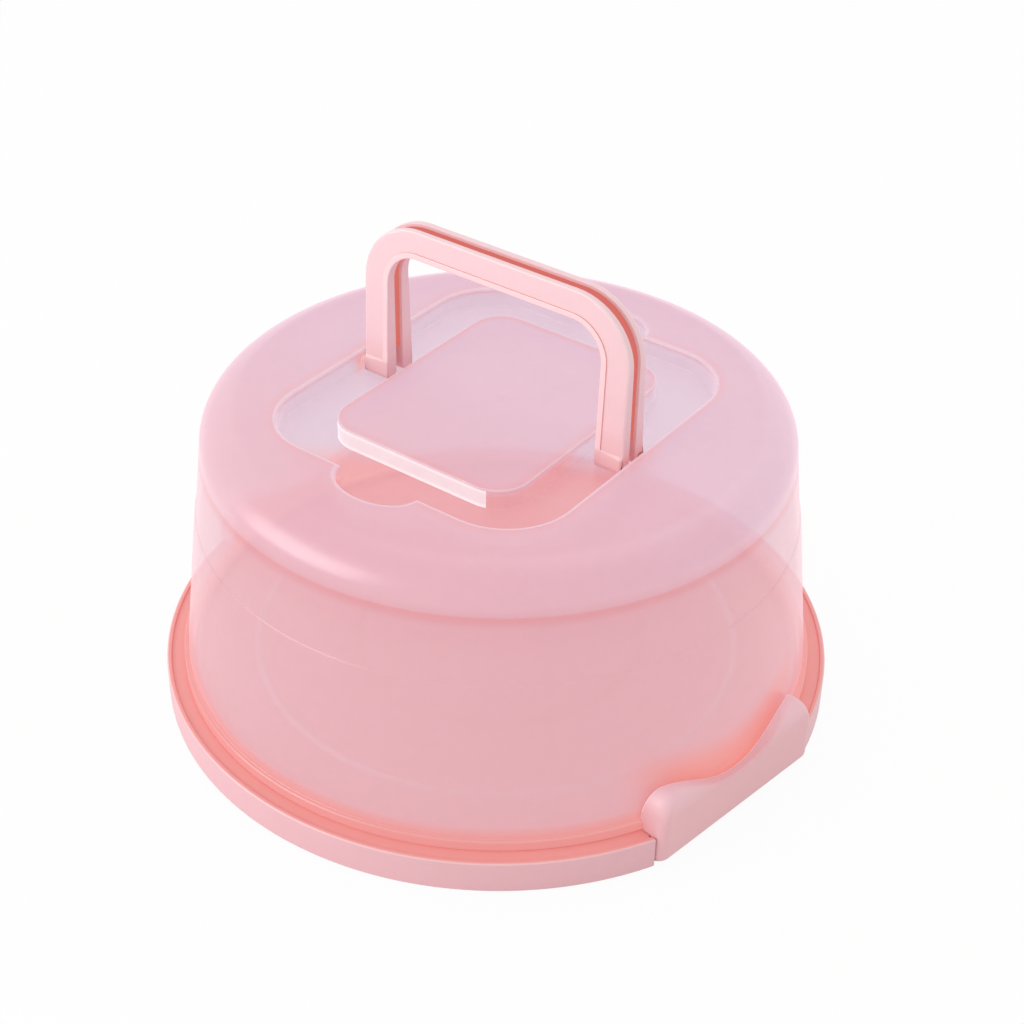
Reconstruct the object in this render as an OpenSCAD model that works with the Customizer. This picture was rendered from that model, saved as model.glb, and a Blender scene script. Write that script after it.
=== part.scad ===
// Round cake carrier: a flat tray, a translucent dome that lifts off, two
// swing-up carrying handles on the dome and two clip latches on the tray.
// Origin: centre of the tray's underside. X runs along the handles, Z up.

/* [Tray] */
// Outer radius of the tray
tray_r = 130; // [122:1:140]
// Height of the tray's rim
tray_h = 13.2; // [12.6:0.2:16]
// Wall thickness of the tray
tray_wall = 2.2; // [1.6:0.1:2.6]
// Width of the narrow land on top of the rim
rim_land = 1.8; // [1.6:0.1:2.6]
// Depth of the channel and deck below the rim's land
channel_depth = 0.8; // [0.7:0.1:1.6]
// Width of the open channel between the rim and the dome's bead
channel_gap = 5.2; // [4.4:0.1:6]
// Height of the ring that centres the dome
centring_h = 2.8; // [2:0.1:3.6]
// Width of the ring that centres the dome
centring_w = 1.8; // [1.4:0.1:2.4]
// Radius of the outer raised ring on the deck
deck_ring_outer_r = 94.5; // [80:0.5:100]
// Radius of the inner raised ring on the deck
deck_ring_inner_r = 56; // [40:0.5:70]
// Width of the raised rings on the deck
deck_ring_w = 2; // [1.4:0.1:3]
// Rise of the raised rings on the deck
deck_ring_h = 0.8; // [0.4:0.1:1.2]
// Number of stiffening ribs under the deck
rib_count = 12; // [6:2:20]
// Thickness of a rib under the deck
rib_t = 1.6; // [1.2:0.1:2.2]
// Depth of a rib under the deck
rib_depth = 3.5; // [2:0.1:4.5]
// Turn of the tray's latches from the line of the handles
tray_turn = 8.5; // [0:0.5:15]

/* [Dome] */
// Height of the dome from its seat to its flat top
dome_h = 109; // [90:1:130]
// Wall thickness of the dome
dome_wall = 2; // [1.6:0.1:2.4]
// Height of the bead round the dome's foot
bead_h = 4.3; // [3.8:0.1:4.8]
// Width of the bead round the dome's foot
bead_w = 4; // [3.6:0.1:4.4]
// Width of the bead's top in front of the dome's wall
bead_ledge = 1.4; // [1.2:0.1:1.6]
// Thickness of the bead inside its groove
bead_inner = 1.2; // [1:0.1:1.4]
// Thickness of the bead outside its groove
bead_outer = 1.4; // [1.2:0.1:1.6]
// Depth of the groove under the bead
bead_groove = 2.4; // [1.6:0.1:2.8]
// Run of the flare where the wall meets the bead
flare_w = 0.7; // [0.4:0.1:1]
// Height of the flare where the wall meets the bead
flare_h = 4.5; // [3:0.1:6]
// How much the wall draws in from the flare up to the shoulder
wall_draw = 10.1; // [6:0.1:12]
// Height of the shallow step in the wall above the seat
step_at = 67; // [50:1:74]
// Width of the shallow step in the wall
step_w = 0.6; // [0.3:0.1:1]
// Height of the rounded shoulder
shoulder_h = 12.8; // [10:0.1:15]
// Run of the rounded shoulder
shoulder_w = 18.2; // [12:0.1:20]

/* [Moat and platform] */
// Room between the folded handles' legs and the moat's sides
moat_side_gap = 2.9; // [2.2:0.1:4.5]
// Room between the folded handles' bars and the moat's ends
moat_end_gap = 2.25; // [1.8:0.05:4]
// Corner radius of the moat
moat_corner = 26; // [20:0.5:30]
// Depth of the moat
moat_depth = 7.8; // [7.8:0.1:9]
// Room between the folded handles' legs and the platform
platform_side_gap = 6.2; // [3:0.1:10]
// Room between the folded handles' bars and the platform
platform_end_gap = 5.15; // [2:0.05:8]
// Corner radius of the platform
platform_corner = 13; // [8:0.5:16]
// Width of the finger scoops at the moat's ends
scoop_w = 34; // [26:0.5:40]
// Reach of the finger scoops beyond the moat
scoop_reach = 11.5; // [8:0.5:13]

/* [Handles] */
// Outer width across a handle's legs
handle_span = 117.2; // [104:0.2:126]
// Height of a handle from its pivot to the top of its bar
handle_reach = 62.5; // [54:0.5:66]
// Width of a handle's legs
leg_w = 11.4; // [10:0.2:13]
// Height of a handle's bar
bar_h = 10.6; // [9:0.2:13]
// Outer corner radius of a handle
handle_corner = 24; // [18:0.5:28]
// Thickness of a handle at its feet
foot_depth = 5.9; // [5.6:0.1:6.4]
// Thickness of a handle at its bar
bar_depth = 3.1; // [2.9:0.1:3.6]
// Gap between the two handles at their feet
foot_gap = 3.6; // [3:0.1:4.4]
// Gap between the two handles at their bars
bar_gap = 4.2; // [3.4:0.1:5]
// Wall thickness of a handle
handle_wall = 1.6; // [1.4:0.1:1.8]
// Width of the lip along a handle's inner edge
lip_w = 2.4; // [1.8:0.1:3.2]
// Step between the lip and the rest of the handle's face
lip_h = 0.5; // [0.3:0.1:0.7]
// Radius of a handle's pivot stubs
pivot_r = 1.8; // [1.5:0.1:2.2]
// Depth of the blind holes that hold the pivot stubs
pivot_hole = 3; // [2.4:0.1:3.6]

/* [Latches] */
// Length of a latch along the tray's edge
latch_len = 84; // [76:1:92]
// Distance of a latch's flat face inside the tray's radius
latch_inset = 4.4; // [4:0.1:5]
// Height of a latch at its middle above the table
latch_low = 20.5; // [19.8:0.1:22]
// Height of a latch at its two shoulders above the table
latch_high = 29.5; // [26:0.1:32]
// Sharpness of the dip between the shoulders of a latch
latch_dip = 1.2; // [1:0.1:1.6]
// Length of the rounded end of a latch
latch_end = 7.5; // [5:0.1:10]
// Drop of the rounded end of a latch
latch_end_drop = 12; // [8:0.1:14]
// Wall thickness of a latch
latch_wall = 1.9; // [1.6:0.1:2.1]
// Corner radius at the ends of a latch's face
latch_corner = 4; // [3:0.1:5]
// Radius along the bottom edge of a latch
latch_toe = 3; // [3:0.1:3.4]
// Lift of a latch's bottom edge above the table
latch_lift = 1; // [1:0.1:1.6]
// Overlap of the latch's hook over the bead
hook_reach = 1; // [0.8:0.1:1.2]
// Thickness of the latch's hook
hook_w = 1.4; // [1.2:0.1:1.6]
// Distance of the hinge line behind a latch's face
hinge_back = 5.2; // [5.2:0.1:5.6]
// Height of the hinge line above the table
hinge_z = 6.2; // [6.2:0.1:6.6]
// Radius of the latch's hinge stubs
hinge_r = 1.5; // [1.3:0.1:1.6]
// Outer radius of the hinge eyes
hinge_eye_r = 2.9; // [2.6:0.1:2.9]
// Distance from a latch's middle to the inner side of a tray lug
lug_at = 20; // [14:1:24]
// Width of a tray lug
lug_w = 4; // [3:0.2:5]

/* [Fits] */
// Height of the dome's seat above the deck
seat_gap = 0.2; // [0.1:0.05:0.3]
// Radial clearance round a pivot or hinge stub
run_gap = 0.05; // [0.03:0.01:0.08]
// Clearance between a latch and what it moves past
latch_gap = 0.4; // [0.3:0.05:0.5]
// Clearance at the ends of a latch
end_gap = 0.6; // [0.4:0.1:1]
// Clearance between a stub's end and its blind hole
stub_gap = 0.4; // [0.3:0.1:0.6]
// Clearance between the dome's wall and the centring ring
centring_gap = 0.6; // [0.4:0.1:1]
// Clearance between a handle's foot and the moat's floor
foot_lift = 0.25; // [0.15:0.05:0.4]

/* [Hidden] */
$fn = 96;
// Steps of the curves in the outlines
flare_steps = 4;
end_steps = 8;
corner_steps = 10;
bend_steps = 12;
curve_steps = 14;
ellipse_steps = 48;
// How far cuts run past the solids that they cut
over = 1;
// Size of the small chamfers
edge = 0.6;

deck_z = tray_h - channel_depth;
deck_under = deck_z - tray_wall;
channel_r = tray_r - rim_land;
seat_z = deck_z + seat_gap;
bead_r = channel_r - channel_gap;
bead_in = bead_r - bead_w;
bead_top = seat_z + bead_h;
centring_r = bead_in - centring_gap;
foot_r = bead_r - bead_ledge;
wall_r = foot_r - flare_w;
dome_top = seat_z + dome_h;
shoulder_z = dome_top - shoulder_h;
step_z = seat_z + step_at;
shoulder_r = wall_r - wall_draw - step_w;
wall_slope = wall_draw / (shoulder_z - bead_top - flare_h);
step_r = wall_r - wall_slope * (step_z - bead_top - flare_h);
flat_r = shoulder_r - shoulder_w;

moat_z = dome_top - moat_depth;
pivot_z = moat_z + foot_depth / 2 + foot_lift;
pivot_y = (foot_gap + foot_depth) / 2;
pivot_boss_r = pivot_r + dome_wall;
moat_x = handle_span + 2 * moat_side_gap;
moat_y = 2 * (pivot_y + handle_reach + moat_end_gap);
platform_x = handle_span - 2 * (leg_w + platform_side_gap);
platform_y = 2 * (pivot_y + handle_reach - bar_h - platform_end_gap);

face_n = tray_r - latch_inset;
hinge_n = face_n - hinge_back;
hook_z = bead_top + latch_gap;
hook_r = bead_r - hook_reach;
latch_from = hook_r / 2;
latch_half = latch_len / 2;
horn_t = latch_half - latch_end;
pocket_half = latch_half + end_gap;
pocket_n = hinge_n - hinge_r + latch_gap;
pocket_back = hinge_n - hinge_z - latch_gap - tray_wall;

// Points of an arc about a centre
function arc(c, r, a0, a1, steps) =
    [for (i = [0:steps]) let (a = a0 + (a1 - a0) * i / steps)
        c + r * [cos(a), sin(a)]];

// Outline of a rectangle with rounded corners
function round_rect(w, l, r) = concat(
    arc([w / 2 - r, l / 2 - r], r, 0, 90, corner_steps),
    arc([r - w / 2, l / 2 - r], r, 90, 180, corner_steps),
    arc([r - w / 2, r - l / 2], r, 180, 270, corner_steps),
    arc([w / 2 - r, r - l / 2], r, 270, 360, corner_steps));

// Outline of an ellipse
function ellipse(a, b) =
    [for (i = [0:ellipse_steps - 1]) let (t = 360 * i / ellipse_steps) [a * cos(t), b * sin(t)]];

// Quarter of an ellipse, from its side (0 degrees) to its top (90 degrees)
function quarter(c, a, b, steps) =
    [for (i = [0:steps]) let (t = 90 * i / steps) c + [a * cos(t), b * sin(t)]];

// ---- Tray ----

// Section of the tray from the axis to the rim
module tray_section() {
    polygon(concat(
        [[0, deck_under], [tray_r - tray_wall, deck_under], [tray_r - tray_wall, 0]],
        [[tray_r, 0], [tray_r, tray_h - edge], [tray_r - edge, tray_h]],
        [[channel_r + edge, tray_h], [channel_r, tray_h - edge], [channel_r, deck_z]],
        [[centring_r, deck_z], [centring_r, deck_z + centring_h]],
        [[centring_r - centring_w, deck_z + centring_h], [centring_r - centring_w, deck_z]],
        deck_ring(deck_ring_outer_r),
        deck_ring(deck_ring_inner_r),
        [[0, deck_z]]));
}

function deck_ring(r) = [
    [r + deck_ring_w / 2, deck_z],
    [r + deck_ring_w / 4, deck_z + deck_ring_h],
    [r - deck_ring_w / 4, deck_z + deck_ring_h],
    [r - deck_ring_w / 2, deck_z]];

// Ring of a given mean radius under the deck
module under_ring(r) {
    translate([0, 0, deck_under - rib_depth])
        difference() {
            cylinder(r = r + rib_t / 2, h = rib_depth + over);
            translate([0, 0, -over]) cylinder(r = r - rib_t / 2, h = rib_depth + 3 * over);
        }
}

module under_ribs() {
    under_ring(deck_ring_outer_r);
    under_ring(deck_ring_inner_r);
    for (i = [0:rib_count - 1])
        rotate([0, 0, i * 360 / rib_count + 180 / rib_count])
            translate([0, -rib_t / 2, deck_under - rib_depth])
                cube([deck_ring_outer_r, rib_t, rib_depth + over]);
}

// Space in the rim that a latch fills, above the deck right up to the bead
module latch_pocket() {
    translate([pocket_n, -pocket_half, -over])
        cube([tray_r, 2 * pocket_half, tray_h + 2 * over]);
    difference() {
        translate([latch_from, -pocket_half, deck_z])
            cube([tray_r, 2 * pocket_half, tray_h]);
        cylinder(r = bead_r + latch_gap, h = 3 * tray_h);
    }
}

// Walls that close the pocket towards the tray
module pocket_walls() {
    intersection() {
        cylinder(r = tray_r - tray_wall / 2, h = deck_under + over);
        union() {
            for (side = [-1, 1])
                translate([pocket_back, side * (pocket_half + tray_wall / 2) - tray_wall / 2, 0])
                    cube([tray_r, tray_wall, deck_under + over]);
            translate([pocket_back, -pocket_half - tray_wall, 0])
                cube([tray_wall, 2 * (pocket_half + tray_wall), deck_under + over]);
        }
    }
}

// Lug with the eye that carries a latch's stub
module tray_lug(side) {
    low = side > 0 ? lug_at : -lug_at - lug_w;
    lug_run = hinge_n - pocket_back - tray_wall / 2;
    translate([0, low, 0])
        difference() {
            union() {
                translate([pocket_back + tray_wall / 2, 0, hinge_z - hinge_eye_r])
                    cube([lug_run, lug_w, deck_under + over / 2 - hinge_z + hinge_eye_r]);
                translate([hinge_n, 0, hinge_z]) rotate([-90, 0, 0]) cylinder(r = hinge_eye_r, h = lug_w);
            }
            translate([hinge_n, -over, hinge_z])
                rotate([-90, 0, 0]) cylinder(r = hinge_r + run_gap, h = lug_w + 2 * over);
        }
}

module tray() {
    color([0.93, 0.62, 0.61])
        rotate([0, 0, -tray_turn]) {
            difference() {
                union() {
                    rotate_extrude($fn = 180) tray_section();
                    under_ribs();
                }
                for (turn = [0, 180]) rotate([0, 0, turn]) latch_pocket();
            }
            for (turn = [0, 180])
                rotate([0, 0, turn]) {
                    pocket_walls();
                    for (side = [-1, 1]) tray_lug(side);
                }
        }
}

// ---- Dome ----

// Section of the dome's round shell
module dome_section() {
    polygon(concat(
        [[bead_in, seat_z], [bead_in + bead_inner, seat_z]],
        [[bead_in + bead_inner, seat_z + bead_groove], [bead_r - bead_outer, seat_z + bead_groove]],
        [[bead_r - bead_outer, seat_z], [bead_r, seat_z]],
        [[bead_r, bead_top - edge], [bead_r - edge, bead_top], [foot_r, bead_top]],
        [for (i = [1:flare_steps]) let (t = 90 * i / flare_steps)
            [foot_r - flare_w * sin(t), bead_top + flare_h * (1 - cos(t))]],
        [[step_r, step_z - step_w], [step_r - step_w, step_z]],
        quarter([flat_r, shoulder_z], shoulder_w, shoulder_h, curve_steps),
        [[0, dome_top], [0, dome_top - dome_wall]],
        reverse(quarter([flat_r, shoulder_z], shoulder_w - dome_wall, shoulder_h - dome_wall, curve_steps)),
        [[step_r - step_w - dome_wall, step_z], [step_r - dome_wall, step_z - step_w]],
        [[wall_r - dome_wall, bead_top + flare_h]]));
}

function reverse(list) = [for (i = [len(list) - 1:-1:0]) list[i]];

// A prism of the moat's outline, wider by grow on every side
module moat_block(grow, z0, z1) {
    translate([0, 0, z0])
        linear_extrude(z1 - z0)
            polygon(round_rect(moat_x + 2 * grow, moat_y + 2 * grow, moat_corner + grow));
    for (side = [-1, 1])
        translate([0, side * moat_y / 2, z0])
            linear_extrude(z1 - z0)
                polygon(ellipse(scoop_w / 2 + grow, scoop_reach + grow));
}

// A prism of the platform's outline, wider by grow on every side
module platform_block(grow, z0, z1) {
    translate([0, 0, z0])
        linear_extrude(z1 - z0)
            polygon(round_rect(platform_x + 2 * grow, platform_y + 2 * grow, platform_corner + grow));
}

// One cylinder for each of the four handle pivots, starting at the moat's wall
module at_pivots(r, start, length) {
    for (side = [-1, 1], end = [-1, 1])
        translate([side * (moat_x / 2 + start), end * pivot_y, pivot_z])
            rotate([0, side * 90, 0]) cylinder(r = r, h = length);
}

module dome() {
    color([0.93, 0.8, 0.85, 0.55])
        difference() {
            union() {
                rotate_extrude($fn = 180) dome_section();
                moat_block(dome_wall, moat_z - dome_wall, dome_top - dome_wall / 2);
                at_pivots(pivot_boss_r, dome_wall / 2, pivot_hole + dome_wall / 2);
            }
            difference() {
                moat_block(0, moat_z, dome_top + over);
                platform_block(0, moat_z - over, dome_top + 2 * over);
            }
            platform_block(-dome_wall, moat_z - 2 * dome_wall, dome_top - dome_wall);
            at_pivots(pivot_r + run_gap, -over, pivot_hole + over);
        }
}

// ---- Handles ----

// Front outline of a handle, from its inner edge to its outer one.
// trim moves every edge inwards, foot is the height where the legs end.
module handle_outline(trim, foot) {
    outer = handle_span / 2 - trim;
    inner = handle_span / 2 - leg_w + trim;
    top = pivot_z + handle_reach - trim;
    under = pivot_z + handle_reach - bar_h + trim;
    outer_r = handle_corner - trim;
    inner_r = handle_corner - leg_w + trim;
    polygon(concat(
        [[outer, foot]],
        arc([outer - outer_r, top - outer_r], outer_r, 0, 90, bend_steps),
        arc([outer_r - outer, top - outer_r], outer_r, 90, 180, bend_steps),
        [[-outer, foot], [-inner, foot]],
        arc([inner_r - inner, under - inner_r], inner_r, 180, 90, corner_steps),
        arc([inner - inner_r, under - inner_r], inner_r, 90, 0, corner_steps),
        [[inner, foot]]));
}

// Side outline of the front handle: face side at -Y, open side towards the other one
module handle_side(face_trim, end_trim) {
    face_foot = -foot_gap / 2 - foot_depth + face_trim;
    face_bar = -bar_gap / 2 - bar_depth + face_trim;
    polygon([
        [face_foot, pivot_z + end_trim],
        [-foot_gap / 2, pivot_z + end_trim],
        [-bar_gap / 2, pivot_z + handle_reach + over],
        [face_bar, pivot_z + handle_reach + over]]);
}

// The side outline drawn out along X
module side_slab(face_trim, end_trim, length) {
    rotate([90, 0, 90])
        linear_extrude(length, center = true)
            handle_side(face_trim, end_trim);
}

// The front outline drawn out along Y
module front_slab(trim, foot) {
    rotate([90, 0, 0])
        linear_extrude(4 * foot_depth, center = true)
            handle_outline(trim, foot);
}

// Round foot of one leg with its pivot stub
module handle_foot(side) {
    stub_end = moat_x / 2 + pivot_hole - stub_gap;
    translate([side * (handle_span / 2 - leg_w / 2), -pivot_y, pivot_z])
        rotate([0, 90, 0]) cylinder(r = foot_depth / 2, h = leg_w, center = true);
    translate([side * (handle_span / 2 - over), -pivot_y, pivot_z])
        rotate([0, side * 90, 0]) cylinder(r = pivot_r, h = stub_end - handle_span / 2 + over);
}

// The front handle; the rear one is the same moulding turned round
module handle() {
    union() {
        difference() {
            intersection() {
                front_slab(0, pivot_z);
                side_slab(0, 0, handle_span + 2 * over);
            }
            // hollow back of the channel section
            intersection() {
                front_slab(handle_wall, pivot_z + foot_depth);
                translate([0, over, 0]) side_slab(handle_wall - over, 0, handle_span);
            }
            // face sunk behind the lip along the inner edge
            difference() {
                intersection() {
                    front_slab(-over, pivot_z + foot_depth);
                    side_slab(-over, 0, handle_span + 4 * over);
                }
                side_slab(lip_h, -over, handle_span + 6 * over);
                handle_lip();
            }
        }
        for (side = [-1, 1]) handle_foot(side);
    }
}

// Band along the handle's inner edge that stands at the full depth
module handle_lip() {
    half = handle_span / 2 - leg_w + lip_w;
    top = pivot_z + handle_reach - bar_h + lip_w;
    r = handle_corner - leg_w + lip_w;
    rotate([90, 0, 0])
        linear_extrude(4 * foot_depth, center = true)
            polygon(concat(
                [[half, pivot_z - over]],
                arc([half - r, top - r], r, 0, 90, bend_steps),
                arc([r - half, top - r], r, 90, 180, bend_steps),
                [[-half, pivot_z - over]]));
}

module handle_front() {
    color([0.97, 0.8, 0.81]) handle();
}

module handle_rear() {
    color([0.97, 0.8, 0.81]) rotate([0, 0, 180]) handle();
}

// ---- Latches ----

// Height of a latch's top along its length, lowered by drop
function latch_top(t, drop) =
    latch_low - drop
        + (latch_high - latch_low) * pow((1 - cos(180 * abs(t) / horn_t)) / 2, latch_dip);

// Front outline of a latch, moved in by trim
module latch_outline(trim, bottom) {
    end_a = latch_end - trim;
    end_b = latch_end_drop - trim;
    corner = latch_high - latch_end_drop;
    polygon(concat(
        [[latch_half - trim, bottom]],
        quarter([horn_t, corner], end_a, end_b, end_steps),
        [for (i = [1:2 * bend_steps - 1]) let (t = horn_t * (1 - i / bend_steps)) [t, latch_top(t, trim)]],
        reverse([for (p = quarter([horn_t, corner], end_a, end_b, end_steps)) [-p[0], p[1]]]),
        [[trim - latch_half, bottom]]));
}

// Front outline of a latch drawn out from one distance to another
module latch_prism(trim, bottom, from_n, to_n) {
    translate([from_n, 0, 0])
        rotate([90, 0, 90])
            linear_extrude(to_n - from_n) latch_outline(trim, bottom);
}

// Plan of a latch: flat face with rounded ends
module latch_plan() {
    n = face_n - latch_corner;
    t = latch_half - latch_corner;
    linear_extrude(latch_high + over)
        polygon(concat(
            [[latch_from, -latch_half]],
            arc([n, -t], latch_corner, -90, 0, end_steps),
            arc([n, t], latch_corner, 0, 90, end_steps),
            [[latch_from, latch_half]]));
}

// Section across a latch with its rounded bottom edge
module latch_section() {
    rotate([90, 0, 0])
        linear_extrude(latch_len + over, center = true)
            polygon(concat(
                [[latch_from, latch_lift]],
                arc([face_n - latch_toe, latch_lift + latch_toe], latch_toe, -90, 0, end_steps),
                [[face_n, latch_high + over], [latch_from, latch_high + over]]));
}

// Everything that a latch has to stay clear of
module latch_clearance() {
    cylinder(r = hook_r, h = latch_high + over, $fn = 180);
    cylinder(r = bead_r + latch_gap, h = hook_z, $fn = 180);
    cube([2 * (pocket_n + latch_gap), 2 * tray_r, 2 * (deck_z + latch_gap)], center = true);
}

// Hollow inside of a latch, open towards the tray
module latch_hollow() {
    inside_n = face_n - latch_wall;
    intersection() {
        latch_prism(latch_wall, -over, latch_from, inside_n);
        translate([0, -latch_len, -over]) cube([inside_n, 2 * latch_len, hook_z + over]);
    }
    difference() {
        latch_prism(latch_wall, hook_z - over, latch_from, inside_n);
        cylinder(r = hook_r + hook_w, h = latch_high + over, $fn = 180);
        translate([0, -lug_at - hook_w, 0])
            cube([tray_r, 2 * (lug_at + hook_w), latch_high + over]);
    }
}

// Rib beside a tray lug with the stub that turns in the lug's eye
module latch_rib(side) {
    rib_w = lug_w;
    low = side > 0 ? lug_at - latch_gap - rib_w : -lug_at + latch_gap;
    stub_low = side > 0 ? low + rib_w - over : low - lug_w - latch_gap + over / 2;
    translate([hinge_n, low, hinge_z]) rotate([-90, 0, 0]) cylinder(r = hinge_eye_r, h = rib_w);
    translate([hinge_n, low, hinge_z - hinge_eye_r])
        cube([face_n - latch_wall / 2 - hinge_n, rib_w, deck_z - hinge_z + hinge_eye_r]);
    translate([hinge_n, stub_low, hinge_z])
        rotate([-90, 0, 0]) cylinder(r = hinge_r, h = lug_w + latch_gap + over / 2);
}

// A latch on the +X side, closed
module latch() {
    difference() {
        intersection() {
            latch_prism(0, 0, latch_from, face_n + over);
            latch_plan();
            latch_section();
        }
        latch_clearance();
        latch_hollow();
    }
    for (side = [-1, 1]) latch_rib(side);
}

module latch_right() {
    color([0.94, 0.72, 0.74]) rotate([0, 0, -tray_turn]) latch();
}

module latch_left() {
    color([0.94, 0.72, 0.74]) rotate([0, 0, 180 - tray_turn]) latch();
}

tray();
dome();
handle_front();
handle_rear();
latch_right();
latch_left();
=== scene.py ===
from math import acos, asin, atan2, cos, hypot, pi, radians, sin, sqrt, tan

import bmesh
import bpy
from bpy.props import FloatProperty, FloatVectorProperty, IntProperty, PointerProperty
from bpy.types import Operator, Panel, PropertyGroup
from mathutils import Matrix, Vector


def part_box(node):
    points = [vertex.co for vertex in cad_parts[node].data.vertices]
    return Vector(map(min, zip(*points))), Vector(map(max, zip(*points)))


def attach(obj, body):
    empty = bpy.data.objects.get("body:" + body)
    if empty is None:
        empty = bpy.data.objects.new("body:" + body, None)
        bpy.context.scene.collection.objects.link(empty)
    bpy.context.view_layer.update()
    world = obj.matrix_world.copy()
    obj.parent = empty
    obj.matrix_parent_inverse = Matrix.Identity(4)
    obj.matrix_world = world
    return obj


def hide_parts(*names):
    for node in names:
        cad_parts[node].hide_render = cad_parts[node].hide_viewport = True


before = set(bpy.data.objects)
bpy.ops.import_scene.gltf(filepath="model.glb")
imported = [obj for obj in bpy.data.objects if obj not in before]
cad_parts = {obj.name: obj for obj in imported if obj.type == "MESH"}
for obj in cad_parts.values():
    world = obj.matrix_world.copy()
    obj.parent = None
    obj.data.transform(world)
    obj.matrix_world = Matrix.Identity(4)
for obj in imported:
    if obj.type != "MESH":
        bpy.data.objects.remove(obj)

bl_info = {
    "name": "Round cake carrier",
    "version": (1, 0, 0),
    "blender": (4, 5, 0),
    "location": "3D View > Sidebar > Carrier",
    "description": "Tray, translucent dome, folding handles and clip latches of a cake carrier",
    "category": "Object",
}

TRAY_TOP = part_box("tray")[1].z
DOME_LOW, DOME_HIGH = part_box("dome")[0].z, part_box("dome")[1].z
HANDLE_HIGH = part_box("handle_front")[1].z


# ---- Sizes and colours that a user can change ----


def length(name, default, description):
    return FloatProperty(name=name, description=description, default=default, unit="LENGTH", precision=4)


def angle(name, default, description):
    return FloatProperty(name=name, description=description, default=radians(default), unit="ROTATION")


def share(name, default, description):
    return FloatProperty(name=name, description=description, default=default, subtype="FACTOR", min=0, max=1)


def power(name, default, description):
    return FloatProperty(name=name, description=description, default=default, min=0, unit="POWER")


def tint(name, rgb, description):
    """A colour property whose default is given in the 0 to 255 steps of a display."""
    return FloatVectorProperty(
        name=name, description=description, default=[from_display(c) for c in rgb],
        subtype="COLOR", size=3, min=0, max=1)


def from_display(step):
    """The linear value of a display's step between 0 and 255."""
    c = step / 255
    return c / 12.92 if c <= 0.04045 else ((c + 0.055) / 1.055) ** 2.4


class TraySizes(PropertyGroup):
    radius: length("Radius", 0.13, "Outer radius of the tray")
    height: length("Height", TRAY_TOP - 0.002, "Height of the rim")
    wall: length("Wall", 0.0022, "Wall thickness")
    land: length("Rim land", 0.0018, "Width of the land on top of the rim")
    deck: length("Deck height", 0.0124, "Height of the deck and of the channel's floor")
    ring_radius: length("Centring ring", 0.1184, "Outer radius of the ring that centres the dome")
    ring_width: length("Ring width", 0.0018, "Width of the ring that centres the dome")
    ring_height: length("Ring height", 0.0028, "Height of the centring ring above the deck")
    deck_ring_outer: length("Outer deck ring", 0.0945, "Radius of the outer raised ring on the deck")
    deck_ring_inner: length("Inner deck ring", 0.056, "Radius of the inner raised ring on the deck")
    rib_depth: length("Rib depth", 0.0035, "Depth of the ribs under the deck")
    rib_width: length("Rib width", 0.0016, "Thickness of the ribs under the deck")
    rib_count: IntProperty(name="Ribs", description="Number of ribs under the deck", default=12, min=3)
    turn: angle("Turn", -8.5, "Turn of the tray and its latches about the vertical")
    pocket_half: length("Pocket half length", 0.0426, "Half the length of a latch's pocket")
    pocket_face: length("Pocket face", 0.1193, "Distance of a pocket's inner face from the axis")


class DomeSizes(PropertyGroup):
    seat: length("Seat height", DOME_LOW, "Height of the dome's foot above the table")
    top: length("Top height", DOME_HIGH, "Height of the dome's flat top")
    wall: length("Wall", 0.002, "Wall thickness")
    bead_radius: length("Bead radius", 0.123, "Outer radius of the bead round the foot")
    bead_width: length("Bead width", 0.004, "Width of the bead")
    bead_height: length("Bead height", 0.0043, "Height of the bead")
    foot_radius: length("Foot radius", 0.1216, "Radius where the wall meets the bead")
    wall_radius: length("Wall radius", 0.1209, "Radius of the wall above its flare")
    flare: length("Flare height", 0.0045, "Height of the flare above the bead")
    step_height: length("Step height", 0.067, "Height of the shallow step above the seat")
    step: length("Step", 0.0006, "Width of the shallow step")
    shoulder_radius: length("Shoulder radius", 0.1102, "Radius of the wall under the shoulder")
    shoulder_height: length("Shoulder height", 0.0128, "Height of the rounded shoulder")
    shoulder_run: length("Shoulder run", 0.0182, "Run of the rounded shoulder")
    moat_width: length("Moat width", 0.123, "Width of the moat along X")
    moat_length: length("Moat length", 0.139, "Length of the moat along Y")
    moat_corner: length("Moat corner", 0.026, "Corner radius of the moat")
    moat_depth: length("Moat depth", 0.0078, "Depth of the moat")
    scoop_width: length("Scoop width", 0.034, "Width of the finger scoops")
    scoop_reach: length("Scoop reach", 0.0115, "Reach of the finger scoops")
    platform_width: length("Platform width", 0.082, "Width of the platform along X")
    platform_length: length("Platform length", 0.103, "Length of the platform along Y")
    platform_corner: length("Platform corner", 0.013, "Corner radius of the platform")
    edge: length("Soft edge", 0.0009, "Radius of the moat's and the platform's edges")
    pivot_height: length("Pivot height", 0.117, "Height of the handles' pivots")
    pivot_offset: length("Pivot offset", 0.00475, "Distance of a handle's pivot from the middle")
    pivot_radius: length("Pivot hole", 0.00185, "Radius of the holes that hold the pivots")
    socket_depth: length("Socket depth", 0.003, "Depth of the holes that hold the pivots")


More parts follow.
